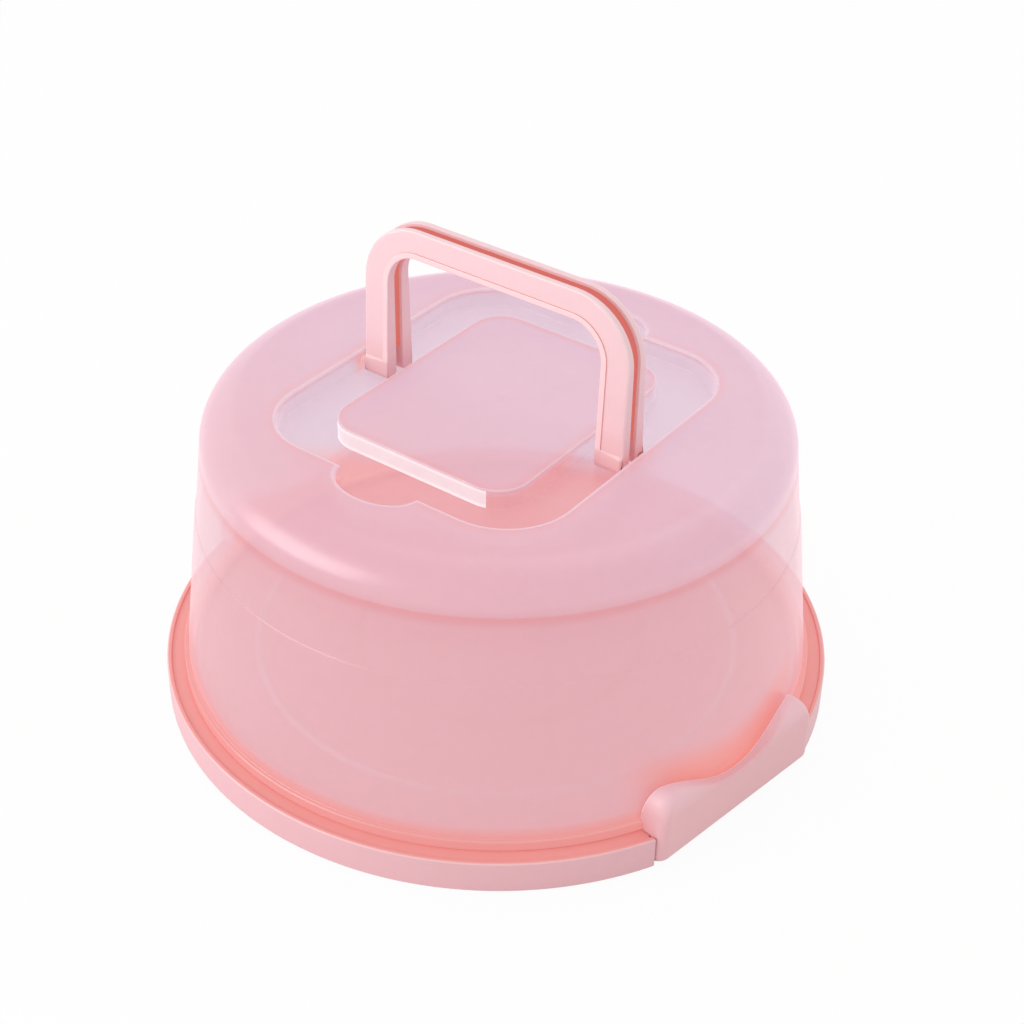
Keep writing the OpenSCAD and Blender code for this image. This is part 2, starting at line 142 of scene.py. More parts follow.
class HandleSizes(PropertyGroup):
    span: length("Span", 0.1172, "Outer width across the legs")
    top: length("Top height", HANDLE_HIGH, "Height of the bar's top")
    leg: length("Leg width", 0.0114, "Width of the legs")
    bar: length("Bar height", 0.0106, "Height of the bar")
    corner: length("Corner", 0.024, "Outer corner radius")
    foot_depth: length("Foot depth", 0.0059, "Thickness at the feet")
    bar_depth: length("Bar depth", 0.0031, "Thickness at the bar")
    foot_gap: length("Foot gap", 0.0036, "Gap between the two handles at their feet")
    bar_gap: length("Bar gap", 0.0042, "Gap between the two handles at their bars")
    wall: length("Wall", 0.0016, "Wall thickness of the channel section")
    lip: length("Lip width", 0.0024, "Width of the lip along the inner edge")
    lip_step: length("Lip step", 0.0005, "Height of the lip above the face")
    ledge: length("Ledge height", 0.1221, "Height where the foot's ledge ends")
    hollow_from: length("Hollow start", 0.1231, "Height where the hollow back starts")
    edge: length("Soft edge", 0.0005, "Radius of the back and inner edges")
    face_edge: length("Face edge", 0.001, "Radius of the face's outer edge")
    stub_radius: length("Stub radius", 0.0018, "Radius of the pivot stubs")
    stub_end: length("Stub end", 0.0641, "Distance of a stub's end from the middle")


class LatchSizes(PropertyGroup):
    half: length("Half length", 0.042, "Half the length of a latch")
    face: length("Face distance", 0.1256, "Distance of the flat face from the axis")
    low: length("Middle height", 0.0205, "Height of the top edge at the middle")
    high: length("Shoulder height", 0.0295, "Height of the two shoulders")
    end_run: length("End run", 0.0075, "Length of the rounded end")
    end_drop: length("End drop", 0.012, "Drop of the rounded end")
    wall: length("Wall", 0.0019, "Wall thickness")
    corner: length("Plan corner", 0.004, "Corner radius at the ends of the face, seen from above")
    toe: length("Toe", 0.003, "Radius along the bottom edge")
    lift: length("Lift", 0.001, "Lift of the bottom edge above the table")
    thin_edge: length("Thin edge", 0.0009, "Radius of the top edge at the middle")
    full_edge: length("Full edge", 0.0058, "Radius of the top edge at the shoulders")
    hook_radius: length("Hook radius", 0.122, "Radius that the hook reaches in to")
    hook_height: length("Hook height", 0.0173, "Height of the hook's underside")
    back: length("Back", 0.1197, "Distance of the end walls' back from the axis")
    bead_clear: length("Bead clearance", 0.1234, "Radius that the end walls keep from the bead")
    deck_clear: length("Deck clearance", 0.0128, "Height of the end walls' underside above the deck")
    hinge: length("Hinge distance", 0.1204, "Distance of the hinge line from the axis")
    hinge_height: length("Hinge height", 0.0062, "Height of the hinge line")
    hinge_radius: length("Stub radius", 0.0015, "Radius of the hinge stubs")
    eye_radius: length("Eye radius", 0.0029, "Outer radius of the hinge eyes")
    lug_at: length("Lug place", 0.02, "Distance of the tray's lugs from a latch's middle")
    lug_width: length("Lug width", 0.004, "Width of a lug")
    gap: length("Gap", 0.0004, "Clearance beside the lugs")


class Finishes(PropertyGroup):
    # Painted light and shade: the tray is one coral plastic, shown as deeper coral on deck, channel and land
    # and as paler pink on the outer wall, by how light falls on them
    deck: tint("Deck", (245, 167, 162), "Coral of the tray's deck, channel and rim land")
    rim: tint("Rim", (232, 182, 188), "Pink of the tray's outer wall")
    # Painted highlight: the pale line along the rim's top edge and along the outer deck ring
    rim_edge_highlight: tint("Rim edge", (243, 196, 197), "Pale pink line along the rim's edge")
    dome_top: tint("Dome top", (225, 185, 203), "Lilac pink of the dome's top")
    # Painted light: the warmer pink of the tray's coral seen through the top towards the front
    dome_front_glow: tint("Dome front", (228, 178, 191), "Warmer pink of the top towards the front")
    dome_wall: tint("Dome wall", (230, 190, 200), "Pink of the dome's wall")
    # Painted light: the tray's coral glowing through the dome's foot, also laid along the moat's and
    # platform's edges
    dome_foot_glow: tint("Dome foot", (236, 158, 155), "Coral glow of the dome's foot and pivots")
    # Painted light: the coral of the pivots and latches shining through the dome
    dome_shine: tint("Dome shine", (253, 160, 146), "Coral of pivots and latches seen through the dome")
    # Painted light: the tray's coral seen through the moat's front
    moat_front_glow: tint("Moat front", (241, 176, 178), "Coral pink of the moat's front")
    # Partly painted light: the moat's own lilac, paled for the white room seen through its sides and rear
    moat_side: tint("Moat sides", (221, 199, 218), "Pale lilac of the moat's sides and rear")
    # Painted shade: the deeper coral line where the shoulder meets the wall
    dome_fold_shade: tint("Dome fold", (226, 148, 152), "Deeper line where the shoulder meets the wall")
    # Painted highlight: the pale colour of the platform's front and of the moat's rounded edge
    dome_highlight: tint("Bright fold", (255, 240, 242), "Pale pink of the bright lines in the dome's top")
    handle: tint("Handle", (243, 208, 212), "Light pink of the handles' faces")
    # Painted highlight: the pale pink of the handles' lip and soft edges
    handle_edge: tint("Handle edge", (250, 217, 219), "Pale pink along the edges of the handles' faces")
    # Painted shade: the deeper coral in the handles' channels and in the groove beside the lip
    handle_hollow: tint("Handle hollow", (226, 126, 116), "Deeper coral inside the handles")
    latch: tint("Latch", (235, 183, 188), "Pink of the latches")
    # Painted highlight: the pale line along a latch's top edge, also mixed into its shoulders
    latch_edge: tint("Latch edge", (251, 218, 226), "Pale pink line along a latch's top edge")
    wall_cover: share("Wall cover", 0.56, "How much the outer skin of the dome's wall covers")
    top_cover: share("Top cover", 0.82, "How much the outer skin of the dome's top covers")
    moat_cover: share("Moat cover", 0.58, "How much the outer skin of the moat's floor covers")
    inner_cover: share("Inner cover", 0.2, "How much the dome's inner skin covers")
    # Painted light: the share of the dome's, the moat edge's and the handle hollows' colour given as emission
    glow: share("Inner glow", 0.62, "Share of the dome's colour that light within the plastic gives")


class StageLook(PropertyGroup):
    camera_turn: angle("Camera turn", 36.5, "Turn of the camera round the carrier")
    camera_rise: angle("Camera rise", 39.46, "Angle of the camera above the horizon")
    camera_distance: length("Camera distance", 0.78, "Distance of the camera from the tray's middle")
    camera_roll: angle("Camera roll", 1.04, "Roll of the camera")
    room_light: FloatProperty(
        name="Room light", description="Strength of the even light", default=0.84, min=0)
    key_light: power("Side light", 3.8, "Power of the softbox on the left")
    shine_light: power("Shine light", 10.5, "Power of the softbox that only shows in the gloss")
    top_light: power("Top light", 1.5, "Power of the softbox above")


# ---- Modelling helpers ----


def nothing_selected():
    if bpy.context.object is not None and bpy.context.object.mode != "OBJECT":
        bpy.ops.object.mode_set(mode="OBJECT")
    bpy.ops.object.select_all(action="DESELECT")


def only(piece):
    """Selects one piece and makes it the active one."""
    nothing_selected()
    piece.select_set(True)
    bpy.context.view_layer.objects.active = piece


def open_mesh(piece, mode="FACE"):
    """Edit mode on one piece, with nothing of it selected."""
    only(piece)
    bpy.ops.object.mode_set(mode="EDIT")
    bpy.ops.mesh.select_mode(type=mode)
    bpy.ops.mesh.select_all(action="DESELECT")


def close_mesh():
    bpy.ops.object.mode_set(mode="OBJECT")


def take_all():
    bpy.ops.mesh.select_all(action="SELECT")


def middle(part):
    """The middle of a face or an edge."""
    return part.calc_center_median() if isinstance(part, bmesh.types.BMFace) else sum(
        (v.co for v in part.verts), Vector()) / 2


def pick(piece, test, parts="faces"):
    """Selects the faces or edges for which test(part, its middle) is true, in edit mode."""
    mesh = bmesh.from_edit_mesh(piece.data)
    mesh.normal_update()
    bpy.ops.mesh.select_all(action="DESELECT")
    found = [part for part in getattr(mesh, parts) if test(part, middle(part))]
    for part in found:
        part.select_set(True)
    mesh.select_flush_mode()
    bmesh.update_edit_mesh(piece.data)
    return len(found)


def move_vertices(piece, place_of, selected=True):
    """Moves the selected vertices, or all of them, to where place_of puts them, in edit mode."""
    mesh = bmesh.from_edit_mesh(piece.data)
    for v in mesh.verts:
        if v.select or not selected:
            v.co = place_of(v.co)
    bmesh.update_edit_mesh(piece.data)


def draw_on(way=(0, 0, 0)):
    """Extrudes what is selected, in edit mode."""
    bpy.ops.mesh.extrude_region_move(TRANSFORM_OT_translate={"value": way})


def sharp(edge, degrees=40):
    """Whether the solid bends outwards at an edge by more than this."""
    return len(edge.link_faces) == 2 and edge.calc_face_angle(0) > radians(degrees) and edge.is_convex


def tidy_mesh(piece, gap=1e-6):
    """Merges doubled vertices, then turns the faces outwards."""
    open_mesh(piece)
    take_all()
    bpy.ops.mesh.remove_doubles(threshold=gap)
    bpy.ops.mesh.normals_make_consistent(inside=False)
    close_mesh()


def combine(body, tool, operation):
    """Cuts the tool out of the body, or joins it on, and removes the tool."""
    nothing_selected()
    cut = body.modifiers.new(operation.title(), "BOOLEAN")
    cut.operation, cut.object, cut.solver = operation, tool, "EXACT"
    bpy.context.view_layer.objects.active = body
    bpy.ops.object.modifier_apply(modifier=cut.name)
    bpy.data.objects.remove(tool)


def placed():
    """Applies the active object's place, turn and scale to its mesh."""
    bpy.ops.object.transform_apply(location=True, rotation=True, scale=True)
    return bpy.context.object


def block(low, high):
    """A block between two corners, as a tool or a lug."""
    low, high = Vector(low), Vector(high)
    nothing_selected()
    bpy.ops.mesh.primitive_cube_add(size=1, location=(low + high) / 2, scale=high - low)
    return placed()


def rod(start, end, radius, sides=48):
    """A round bar from one point to another."""
    start, end = Vector(start), Vector(end)
    nothing_selected()
    bpy.ops.mesh.primitive_cylinder_add(
        vertices=sides, radius=radius, depth=(end - start).length, location=(start + end) / 2,
        rotation=(end - start).to_track_quat("Z", "Y").to_euler())
    return placed()


def turned_about_axis(piece, turn):
    """Turns a piece about the vertical axis and applies the turn to its mesh."""
    only(piece)
    piece.rotation_euler = (0, 0, turn)
    return placed()


def copy_of(piece, name, turn):
    twin = piece.copy()
    twin.data = piece.data.copy()
    twin.name = twin.data.name = name
    bpy.context.scene.collection.objects.link(twin)
    return turned_about_axis(twin, turn)


def smooth_finish(piece, degrees=38):
    """Smooth shading with true flats: sharp folds stay, large faces keep their own normal."""
    only(piece)
    bpy.ops.object.shade_smooth_by_angle(angle=radians(degrees), keep_sharp_edges=False)
    even = piece.modifiers.new("Even flats", "WEIGHTED_NORMAL")
    even.keep_sharp = True
    bpy.ops.object.modifier_apply(modifier=even.name)


def rounded(corners, steps=4):
    """A profile whose corners may be rounded: each corner is (r, z) or (r, z, radius)."""
    points = []
    for i, corner in enumerate(corners):
        here = Vector(corner[:2])
        if len(corner) < 3 or i in (0, len(corners) - 1):
            points.append(here)
            continue
        back, on = Vector(corners[i - 1][:2]) - here, Vector(corners[i + 1][:2]) - here
        half = back.angle(on) / 2
        run = min(corner[2] / tan(half), 0.49 * back.length, 0.49 * on.length)
        centre = here + (back.normalized() + on.normalized()).normalized() * run / cos(half)
        a, b = here + back.normalized() * run - centre, here + on.normalized() * run - centre
        sweep = a.angle(b)
        for k in range(steps + 1):
            t = k / steps
            points.append(centre + (a * sin((1 - t) * sweep) + b * sin(t * sweep)) / sin(sweep))
    return points


def turned_body(name, profile, steps=180):
    """A turned solid: a point is drawn along the profile from axis to axis, then spun once round."""
    nothing_selected()
    bpy.ops.mesh.primitive_plane_add(size=0.001, location=(0, 0, profile[0][1]))
    body = placed()
    open_mesh(body, "VERT")
    take_all()
    bpy.ops.mesh.merge(type="CENTER")
    for a, b in zip(profile, profile[1:]):
        draw_on((b[0] - a[0], 0, b[1] - a[1]))
    take_all()
    bpy.ops.mesh.spin(steps=steps, angle=2 * pi, center=(0, 0, 0), axis=(0, 0, 1))
    close_mesh()
    body.name = body.data.name = name
    tidy_mesh(body)
    return body


def laid_rings(name, rings):
    """A closed skin through rings of equal count: the first is a circle laid on its points, and each
    next one is extruded from the last and laid on its own."""
    nothing_selected()
    bpy.ops.mesh.primitive_circle_add(vertices=len(rings[0]), radius=0.1)
    skin = bpy.context.object
    open_mesh(skin, "VERT")
    mesh = bmesh.from_edit_mesh(skin.data)
    mesh.verts.ensure_lookup_table()
    place = {v.index: i for i, v in enumerate(mesh.verts)}
    for v in mesh.verts:
        v.co = rings[0][place[v.index]]
    take_all()
    bpy.ops.mesh.edge_face_add()
    take_all()
    bpy.ops.mesh.select_mode(type="EDGE")
    for ring in rings[1:]:
        bpy.ops.mesh.extrude_edges_move()
        mesh = bmesh.from_edit_mesh(skin.data)
        mesh.verts.index_update()
        fresh = {}
        for v in mesh.verts:
            if v.select:
                old = next(e.other_vert(v) for e in v.link_edges if not e.other_vert(v).select)
                fresh[v.index] = place[old.index]
                v.co = ring[fresh[v.index]]
        place = fresh
    bpy.ops.mesh.edge_face_add()
    bmesh.update_edit_mesh(skin.data)
    close_mesh()
    skin.name = skin.data.name = name
    tidy_mesh(skin)
    return skin


def give_finishes(piece, *finishes):
    piece.data.materials.clear()
    for finish in finishes:
        piece.data.materials.append(finish)


def assign_finish(piece, number, test):
    """Gives one of the piece's finishes to the faces that pass the test."""
    open_mesh(piece)
    if not pick(piece, test):
        raise RuntimeError(f"No face of {piece.name} takes finish {number}")
    piece.active_material_index = number
    bpy.ops.object.material_slot_assign()
    close_mesh()


def hand_over(piece, body, node):
    """The finished piece moves with its body and stands for the CAD node."""
    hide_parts(node)
    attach(piece, body)


# ---- Node groups and finishes ----

PLASTIC_IOR = 1.49
MOTTLE = 0.05  # change of brightness by the pigment's mottle
GRAIN_DEPTH = 0.0002  # depth of the grain and the waves, in metres
FROST = 0.3  # roughness that a frosted place has above the rest


def group(name, inputs, outputs):
    tree = bpy.data.node_groups.new(name, "ShaderNodeTree")
    for label, kind, value in inputs:
        socket = tree.interface.new_socket(name=label, in_out="INPUT", socket_type=kind)
        socket.default_value = value
    for label, kind in outputs:
        tree.interface.new_socket(name=label, in_out="OUTPUT", socket_type=kind)
    return tree, tree.nodes.new("NodeGroupInput"), tree.nodes.new("NodeGroupOutput")


def is_socket(value):
    return isinstance(value, bpy.types.NodeSocket)


def put(tree, kind, settings=None, **inputs):
    """Adds a node, sets its properties, and links or sets its inputs by name, or by number as i0."""
    node = tree.nodes.new(kind)
    for key, value in (settings or {}).items():
        setattr(node, key, value)
    for key, value in inputs.items():
        numbered = key[0] == "i" and key[1:].isdigit()
        socket = node.inputs[int(key[1:]) if numbered else key.replace("_", " ")]
        if is_socket(value):
            tree.links.new(value, socket)
        else:
            socket.default_value = value
    return node


def math_node(tree, operation, a, b=0.0, c=0.0):
    return put(tree, "ShaderNodeMath", {"operation": operation}, i0=a, i1=b, i2=c).outputs[0]


def times(tree, first, *others):
    for other in others:
        first = math_node(tree, "MULTIPLY", first, other)
    return first


def outside(tree, value, low, high):
    """1 outside a band of values and 0 within it."""
    below = step_between(tree, value, low, low - (high - low) * 0.5)
    return math_node(tree, "MAXIMUM", below, step_between(tree, value, high, high + (high - low) * 0.5))


def step_between(tree, value, low, high):
    """0 at low and 1 at high, with a smooth change between; low may be the larger one."""
    return put(tree, "ShaderNodeMapRange", {"interpolation_type": "SMOOTHSTEP"}, Value=value,
               From_Min=low, From_Max=high).outputs["Result"]


def blend_colour(tree, amount, a, b):
    a, b = (tone if is_socket(tone) else (*tone, 1.0) for tone in (a, b))
    return put(tree, "ShaderNodeMix", {"data_type": "RGBA"}, i0=amount, i6=a, i7=b).outputs[2]


def mixed(a, b, share_of_b):
    """A tint between two."""
    return [x * (1 - share_of_b) + y * share_of_b for x, y in zip(a, b)]


def own_place(tree):
    return tree.nodes.new("ShaderNodeTexCoord").outputs["Object"]


def axes_of(tree, where):
    return put(tree, "ShaderNodeSeparateXYZ", Vector=where).outputs


def group_outputs(tree, name):
    node = tree.nodes.new("ShaderNodeGroup")
    node.node_tree = bpy.data.node_groups[name]
    return node.outputs


def moulded_skin_group():
    """Fine grain and slow waves of a moulded plastic skin, the mottle of its pigment and its scuffs."""
    tree, given, made = group(
        "Moulded skin",
        [("Grain per metre", "NodeSocketFloat", 2600.0), ("Wave per metre", "NodeSocketFloat", 45.0),
         ("Grain share", "NodeSocketFloat", 0.35)],
        [("Height", "NodeSocketFloat"), ("Mottle", "NodeSocketFloat"), ("Scuff", "NodeSocketFloat")])
    where = own_place(tree)
    mottle_per_metre, scuff_per_metre, worn_band = 210.0, 120.0, (0.58, 0.74)
    scuff_stretch, scuff_turn = (1.0, 6.0, 2.0), (0.3, 0.2, 0.7)
    grain = put(tree, "ShaderNodeTexNoise", Vector=where, Scale=given.outputs["Grain per metre"], Detail=2.0)
    wave = put(tree, "ShaderNodeTexNoise", Vector=where, Scale=given.outputs["Wave per metre"], Detail=1.5)
    mottle = put(tree, "ShaderNodeTexNoise", Vector=where, Scale=mottle_per_metre, Detail=3.0,
                 Roughness=0.6)
    height = put(tree, "ShaderNodeMix", {"data_type": "FLOAT"}, i0=given.outputs["Grain share"],
                 i2=wave.outputs["Fac"], i3=grain.outputs["Fac"])
    stretched = put(tree, "ShaderNodeMapping", Vector=where, Scale=scuff_stretch, Rotation=scuff_turn)
    scuff = put(tree, "ShaderNodeTexNoise", Vector=stretched.outputs[0], Scale=scuff_per_metre,
                Detail=4.0, Roughness=0.7)
    worn = step_between(tree, scuff.outputs["Fac"], *worn_band)
    for label, value in (("Height", height.outputs[0]), ("Mottle", mottle.outputs["Fac"]), ("Scuff", worn)):
        tree.links.new(value, made.inputs[label])


def round_place_group():
    """Distance from the vertical axis and height above the table, for bands that run round."""
    outputs = [("Radius", "NodeSocketFloat"), ("Height", "NodeSocketFloat")]
    tree, _, made = group("Round place", [], outputs)
    axes = axes_of(tree, own_place(tree))
    flat = put(tree, "ShaderNodeCombineXYZ", X=axes["X"], Y=axes["Y"])
    size = put(tree, "ShaderNodeVectorMath", {"operation": "LENGTH"}, i0=flat.outputs[0])
    tree.links.new(size.outputs["Value"], made.inputs["Radius"])
    tree.links.new(axes["Z"], made.inputs["Height"])


def plastic(name, roughness, scuffed, bump, colour_of, cover_of=None, glow=0.0, gloss=0.5, frost_of=None):
    """A moulded plastic with grain, mottle and scuffs. colour_of(tree, skin, place) gives its colour,
    cover_of how much it covers, and frost_of how much it is roughened."""
    made = bpy.data.materials.new(name)
    made.use_nodes = True
    tree = made.node_tree
    shader = tree.nodes["Principled BSDF"].inputs
    skin, place = group_outputs(tree, "Moulded skin"), group_outputs(tree, "Round place")
    fleck = math_node(tree, "MULTIPLY_ADD", skin["Mottle"], MOTTLE, 1 - MOTTLE / 2)
    varied = put(tree, "ShaderNodeHueSaturation", Color=colour_of(tree, skin, place), Value=fleck).outputs[0]
    # Painted light: an emission of the surface's own colour stands for light scattered within the plastic,
    # and the base colour is dimmed by the same share
    if glow:
        shader["Emission Strength"].default_value = glow
        tree.links.new(varied, shader["Emission Color"])
        varied = put(tree, "ShaderNodeHueSaturation", Color=varied, Value=1 - glow).outputs[0]
    tree.links.new(varied, shader["Base Color"])
    rough = put(tree, "ShaderNodeMapRange", Value=skin["Scuff"], To_Min=roughness, To_Max=scuffed).outputs[0]
    if frost_of is not None:
        rough = math_node(tree, "MULTIPLY_ADD", frost_of(tree, skin, place), FROST, rough)
    tree.links.new(rough, shader["Roughness"])
    relief = put(tree, "ShaderNodeBump", Strength=bump, Distance=GRAIN_DEPTH, Height=skin["Height"])
    tree.links.new(relief.outputs[0], shader["Normal"])
    shader["IOR"].default_value = PLASTIC_IOR
    shader["Specular IOR Level"].default_value = gloss
    if cover_of is not None:
        tree.links.new(cover_of(tree, skin, place), shader["Alpha"])
    return made


def even_cover(amount):
    """A cover_of that hardly changes over the surface."""
    return lambda tree, skin, place: math_node(tree, "MULTIPLY_ADD", skin["Mottle"], MOTTLE, amount)


def tray_finish(look, sizes):
    """One coral plastic painted as lit and shaded copies: deeper coral on deck, channel and land, paler pink
    on the outer wall; a painted highlight as a thin pale line on the rim's edge and on the outer deck ring.
    """
    def colour(tree, skin, place):
        inward, line, fine = 0.0009, 0.0008, 0.0002
        # Painted light and shade: paler pink on the outer wall, deeper coral on deck, channel and land
        outer = step_between(tree, place["Radius"], sizes.radius - inward, sizes.radius - fine)
        # Painted highlight: a thin pale line along the rim's top edge
        upper = step_between(tree, place["Height"], sizes.height - line, sizes.height - fine)
        wall = blend_colour(tree, upper, look.rim, look.rim_edge_highlight)
        # Painted highlight: a pale line along the outer deck ring
        ring, half_band, ring_highlight = sizes.deck_ring_outer, 0.0009, 0.8
        off_ring = outside(tree, place["Radius"], ring - half_band, ring + half_band)
        off_ring = math_node(tree, "MULTIPLY_ADD", off_ring, ring_highlight, 1 - ring_highlight)
        deck = blend_colour(tree, off_ring, look.rim_edge_highlight, look.deck)
        return blend_colour(tree, outer, deck, wall)
    return plastic("Coral tray", 0.42, 0.56, 0.12, colour)


def near_pivots(tree, sizes):
    """1 round the four bosses that hold the handles, where the pivots' coral is painted on the dome as light
    showing through.
    """
    axes, wall = axes_of(tree, own_place(tree)), sizes.moat_width / 2
    across, along = (math_node(tree, "ABSOLUTE", axes[label]) for label in "XY")
    near, far = (wall - 0.001, wall + 0.0005), (wall + 0.006, wall + 0.003)
    beside, below = (0.0105, 0.007), (sizes.top + 0.0008, sizes.top - 0.0025)
    return times(tree, step_between(tree, across, *near), step_between(tree, across, *far),
                 step_between(tree, along, *beside), step_between(tree, axes["Z"], *below))


def beside_latches(tree, turn):
    """1 on the foot of the wall beside the two latches, which shine through it; there the latches' coral is
    painted on as light.
    """
    turned = put(tree, "ShaderNodeVectorRotate", {"rotation_type": "Z_AXIS"}, Vector=own_place(tree),
                 Angle=-turn)
    axes = axes_of(tree, turned.outputs[0])
    out, along = (math_node(tree, "ABSOLUTE", axes[label]) for label in "XY")
    curve, lowest, fade, at_wall, beside = 5.5, 0.026, 0.013, (0.1, 0.112), (0.052, 0.022)
    edge = math_node(tree, "MULTIPLY_ADD", times(tree, along, along), curve, lowest)
    return times(tree, step_between(tree, out, *at_wall), step_between(tree, along, *beside),
                 step_between(tree, axes["Z"], math_node(tree, "ADD", edge, fade), edge))


def in_the_moat(tree, sizes, place):
    """1 on the moat's floor and walls."""
    sunk, within = (sizes.top - 0.001, sizes.top - 0.003), (0.088, 0.084)
    return times(tree, step_between(tree, place["Height"], *sunk),
                 step_between(tree, place["Radius"], *within))


def beyond_outline(tree, width, length_y, corner):
    """Distance outside a rounded rectangle round the axis, less than 0 inside it near its edge."""
    axes = axes_of(tree, own_place(tree))
    past = []
    for label, size in (("X", width), ("Y", length_y)):
        inset = math_node(tree, "SUBTRACT", math_node(tree, "ABSOLUTE", axes[label]), size / 2 - corner)
        past.append(math_node(tree, "POWER", math_node(tree, "MAXIMUM", inset, 0.0), 2.0))
    return math_node(tree, "SUBTRACT", math_node(tree, "SQRT", math_node(tree, "ADD", *past)), corner)


def dome_finish(look, sizes, name, covers, roughness, turn):
    """Frosted pink with painted light: the tray's coral glowing through the foot, the pivots and the latches,
    a painted shade line under the shoulder, painted coral along the moat's and platform's edges, painted
    see-through colours in the moat and towards the front, and a lilac top that covers more than the wall
    does. covers: on the wall, the top and the moat."""
    line, seat, top = sizes.top - sizes.shoulder_height - 0.0035, sizes.seat, sizes.top
    fold_share, edge_share, front_share, shine_share, foot_share = 0.62, 0.38, 0.85, 0.8, 0.25
    # Bands in which a colour or the cover changes, in metres along one axis
    foot_band, top_band, front_band = (seat + 0.0035, seat + 0.011), (line - 0.02, top - 0.004), (0.02, -0.11)
    fold_below, fold_above = (line - 0.006, line - 0.0002), (line + 0.0013, line)
    by_platform, by_moat, flat_top = (-0.005, 0.0), (0.006, 0.0), (top - 0.002, top - 0.001)
    moat_slant, moat_band = -0.6, (-0.028, -0.046)
    cover_foot, cover_crown, frost_band = (
        (seat + 0.011, seat + 0.004), (line - 0.003, line + 0.006), (top - 0.0012, top - 0.0002))

    def colour(tree, skin, place):
        height, axes = place["Height"], axes_of(tree, own_place(tree))
        # Painted light: the coral glow of the tray through the foot of the wall
        foot = step_between(tree, height, *foot_band)
        lower = blend_colour(tree, foot, look.dome_foot_glow, look.dome_wall)
        # Painted light: warmer pink towards the front, for the tray's coral seen through the top
        upper = blend_colour(tree, step_between(tree, axes["Y"], *front_band), look.dome_top, look.dome_front_glow)
        body = blend_colour(tree, step_between(tree, height, *top_band), lower, upper)
        # Painted shade: a deeper coral line just under the shoulder
        fold = times(tree, step_between(tree, height, *fold_below), step_between(tree, height, *fold_above))
        body = blend_colour(tree, times(tree, fold, fold, fold_share), body, look.dome_fold_shade)
        # Painted light: the foot's coral glow laid along the moat's and the platform's edges on the flat top
        platform = beyond_outline(tree, sizes.platform_width, sizes.platform_length, sizes.platform_corner)
        tub = beyond_outline(tree, sizes.moat_width, sizes.moat_length, sizes.moat_corner)
        edged = times(tree, step_between(tree, platform, *by_platform), step_between(tree, tub, *by_moat),
                      step_between(tree, height, *flat_top), edge_share)
        body = blend_colour(tree, edged, body, look.dome_foot_glow)
        # Painted light: coral towards the moat's front, where the tray shows through, and paler lilac at its
        # sides and rear
        slant = math_node(tree, "MULTIPLY_ADD", axes["X"], moat_slant, axes["Y"])
        front = times(tree, step_between(tree, slant, *moat_band), front_share)
        moat = blend_colour(tree, front, look.moat_side, look.moat_front_glow)
        body = blend_colour(tree, in_the_moat(tree, sizes, place), body, moat)
        # Painted light: the coral of the pivots and latches shining through
        shining = math_node(tree, "MAXIMUM", near_pivots(tree, sizes), beside_latches(tree, turn))
        return blend_colour(tree, times(tree, shining, shine_share), body, look.dome_shine)

    def see_through(tree, skin, place):
        foot, crown = (step_between(tree, place["Height"], *band) for band in (cover_foot, cover_crown))
        on_wall, on_top, on_moat = covers
        shown = math_node(tree, "MULTIPLY_ADD", crown, on_top - on_wall, on_wall)
        sunk = times(tree, in_the_moat(tree, sizes, place), crown)
        shown = math_node(tree, "MULTIPLY_ADD", sunk, on_moat - on_top, shown)
        return math_node(tree, "MULTIPLY_ADD", foot, foot_share, shown)

    def frosted_top(tree, skin, place):
        return step_between(tree, place["Height"], *frost_band)
    return plastic(name, roughness, roughness + 0.12, 0.08, colour, see_through, look.glow, 0.85, frosted_top)


def platform_highlight_finish(look, sizes):
    """The platform's upright front, with a painted highlight: pale, with two brighter painted lines along it.
    """
    def colour(tree, skin, place):
        upper, lower = (sizes.top - 0.0022, sizes.top - 0.0012), (sizes.top - 0.0058, sizes.top - 0.0066)
        lines = math_node(tree, "MAXIMUM", step_between(tree, place["Height"], *upper),
                          step_between(tree, place["Height"], *lower))
        return blend_colour(tree, lines, mixed(look.dome_highlight, look.dome_top, 0.3), look.dome_highlight)
    return plastic("Bright fold", 0.22, 0.3, 0.05, colour, even_cover(0.9), 0.85)


def speckled(a, b):
    """A colour_of that goes from one tint to another where the skin is scuffed."""
    return lambda tree, skin, place: blend_colour(tree, skin["Scuff"], a, b)


def moat_edge_highlight_finish(look):
    """The rounded edge round the moat, with a painted highlight a little paler than the top, paler still
    where the skin is scuffed.
    """
    pale, worn = (mixed(look.dome_highlight, look.dome_top, share_of_top) for share_of_top in (0.75, 0.5))
    return plastic("Pale moat edge", 0.24, 0.36, 0.05, speckled(pale, worn), even_cover(0.78), look.glow)


def handle_finish(look):
    """Light pink, with a little more coral painted towards the feet as shade."""
    def colour(tree, skin, place):
        foot = step_between(tree, place["Height"], 0.135, 0.115)
        return blend_colour(tree, foot, look.handle, mixed(look.handle, look.handle_hollow, 0.25))
    return plastic("Light pink handle", 0.34, 0.46, 0.1, colour)


# Painted shade: deeper coral for the handles' channels and grooves, mottled, with an emission that paints
# light within the plastic
def hollow_shade_finish(look):
    deep = [c * 0.94 for c in look.handle_hollow]
    return plastic("Handle hollow", 0.5, 0.6, 0.1, lambda tree, skin, place: blend_colour(
        tree, skin["Mottle"], look.handle_hollow, deep), glow=look.glow)


# Painted highlight along the handles' lip and soft edges, duller where the skin is scuffed
def handle_highlight_finish(look):
    soft = mixed(look.handle_edge, look.handle, 0.5)
    return plastic("Pale handle edge", 0.26, 0.4, 0.06, speckled(look.handle_edge, soft))


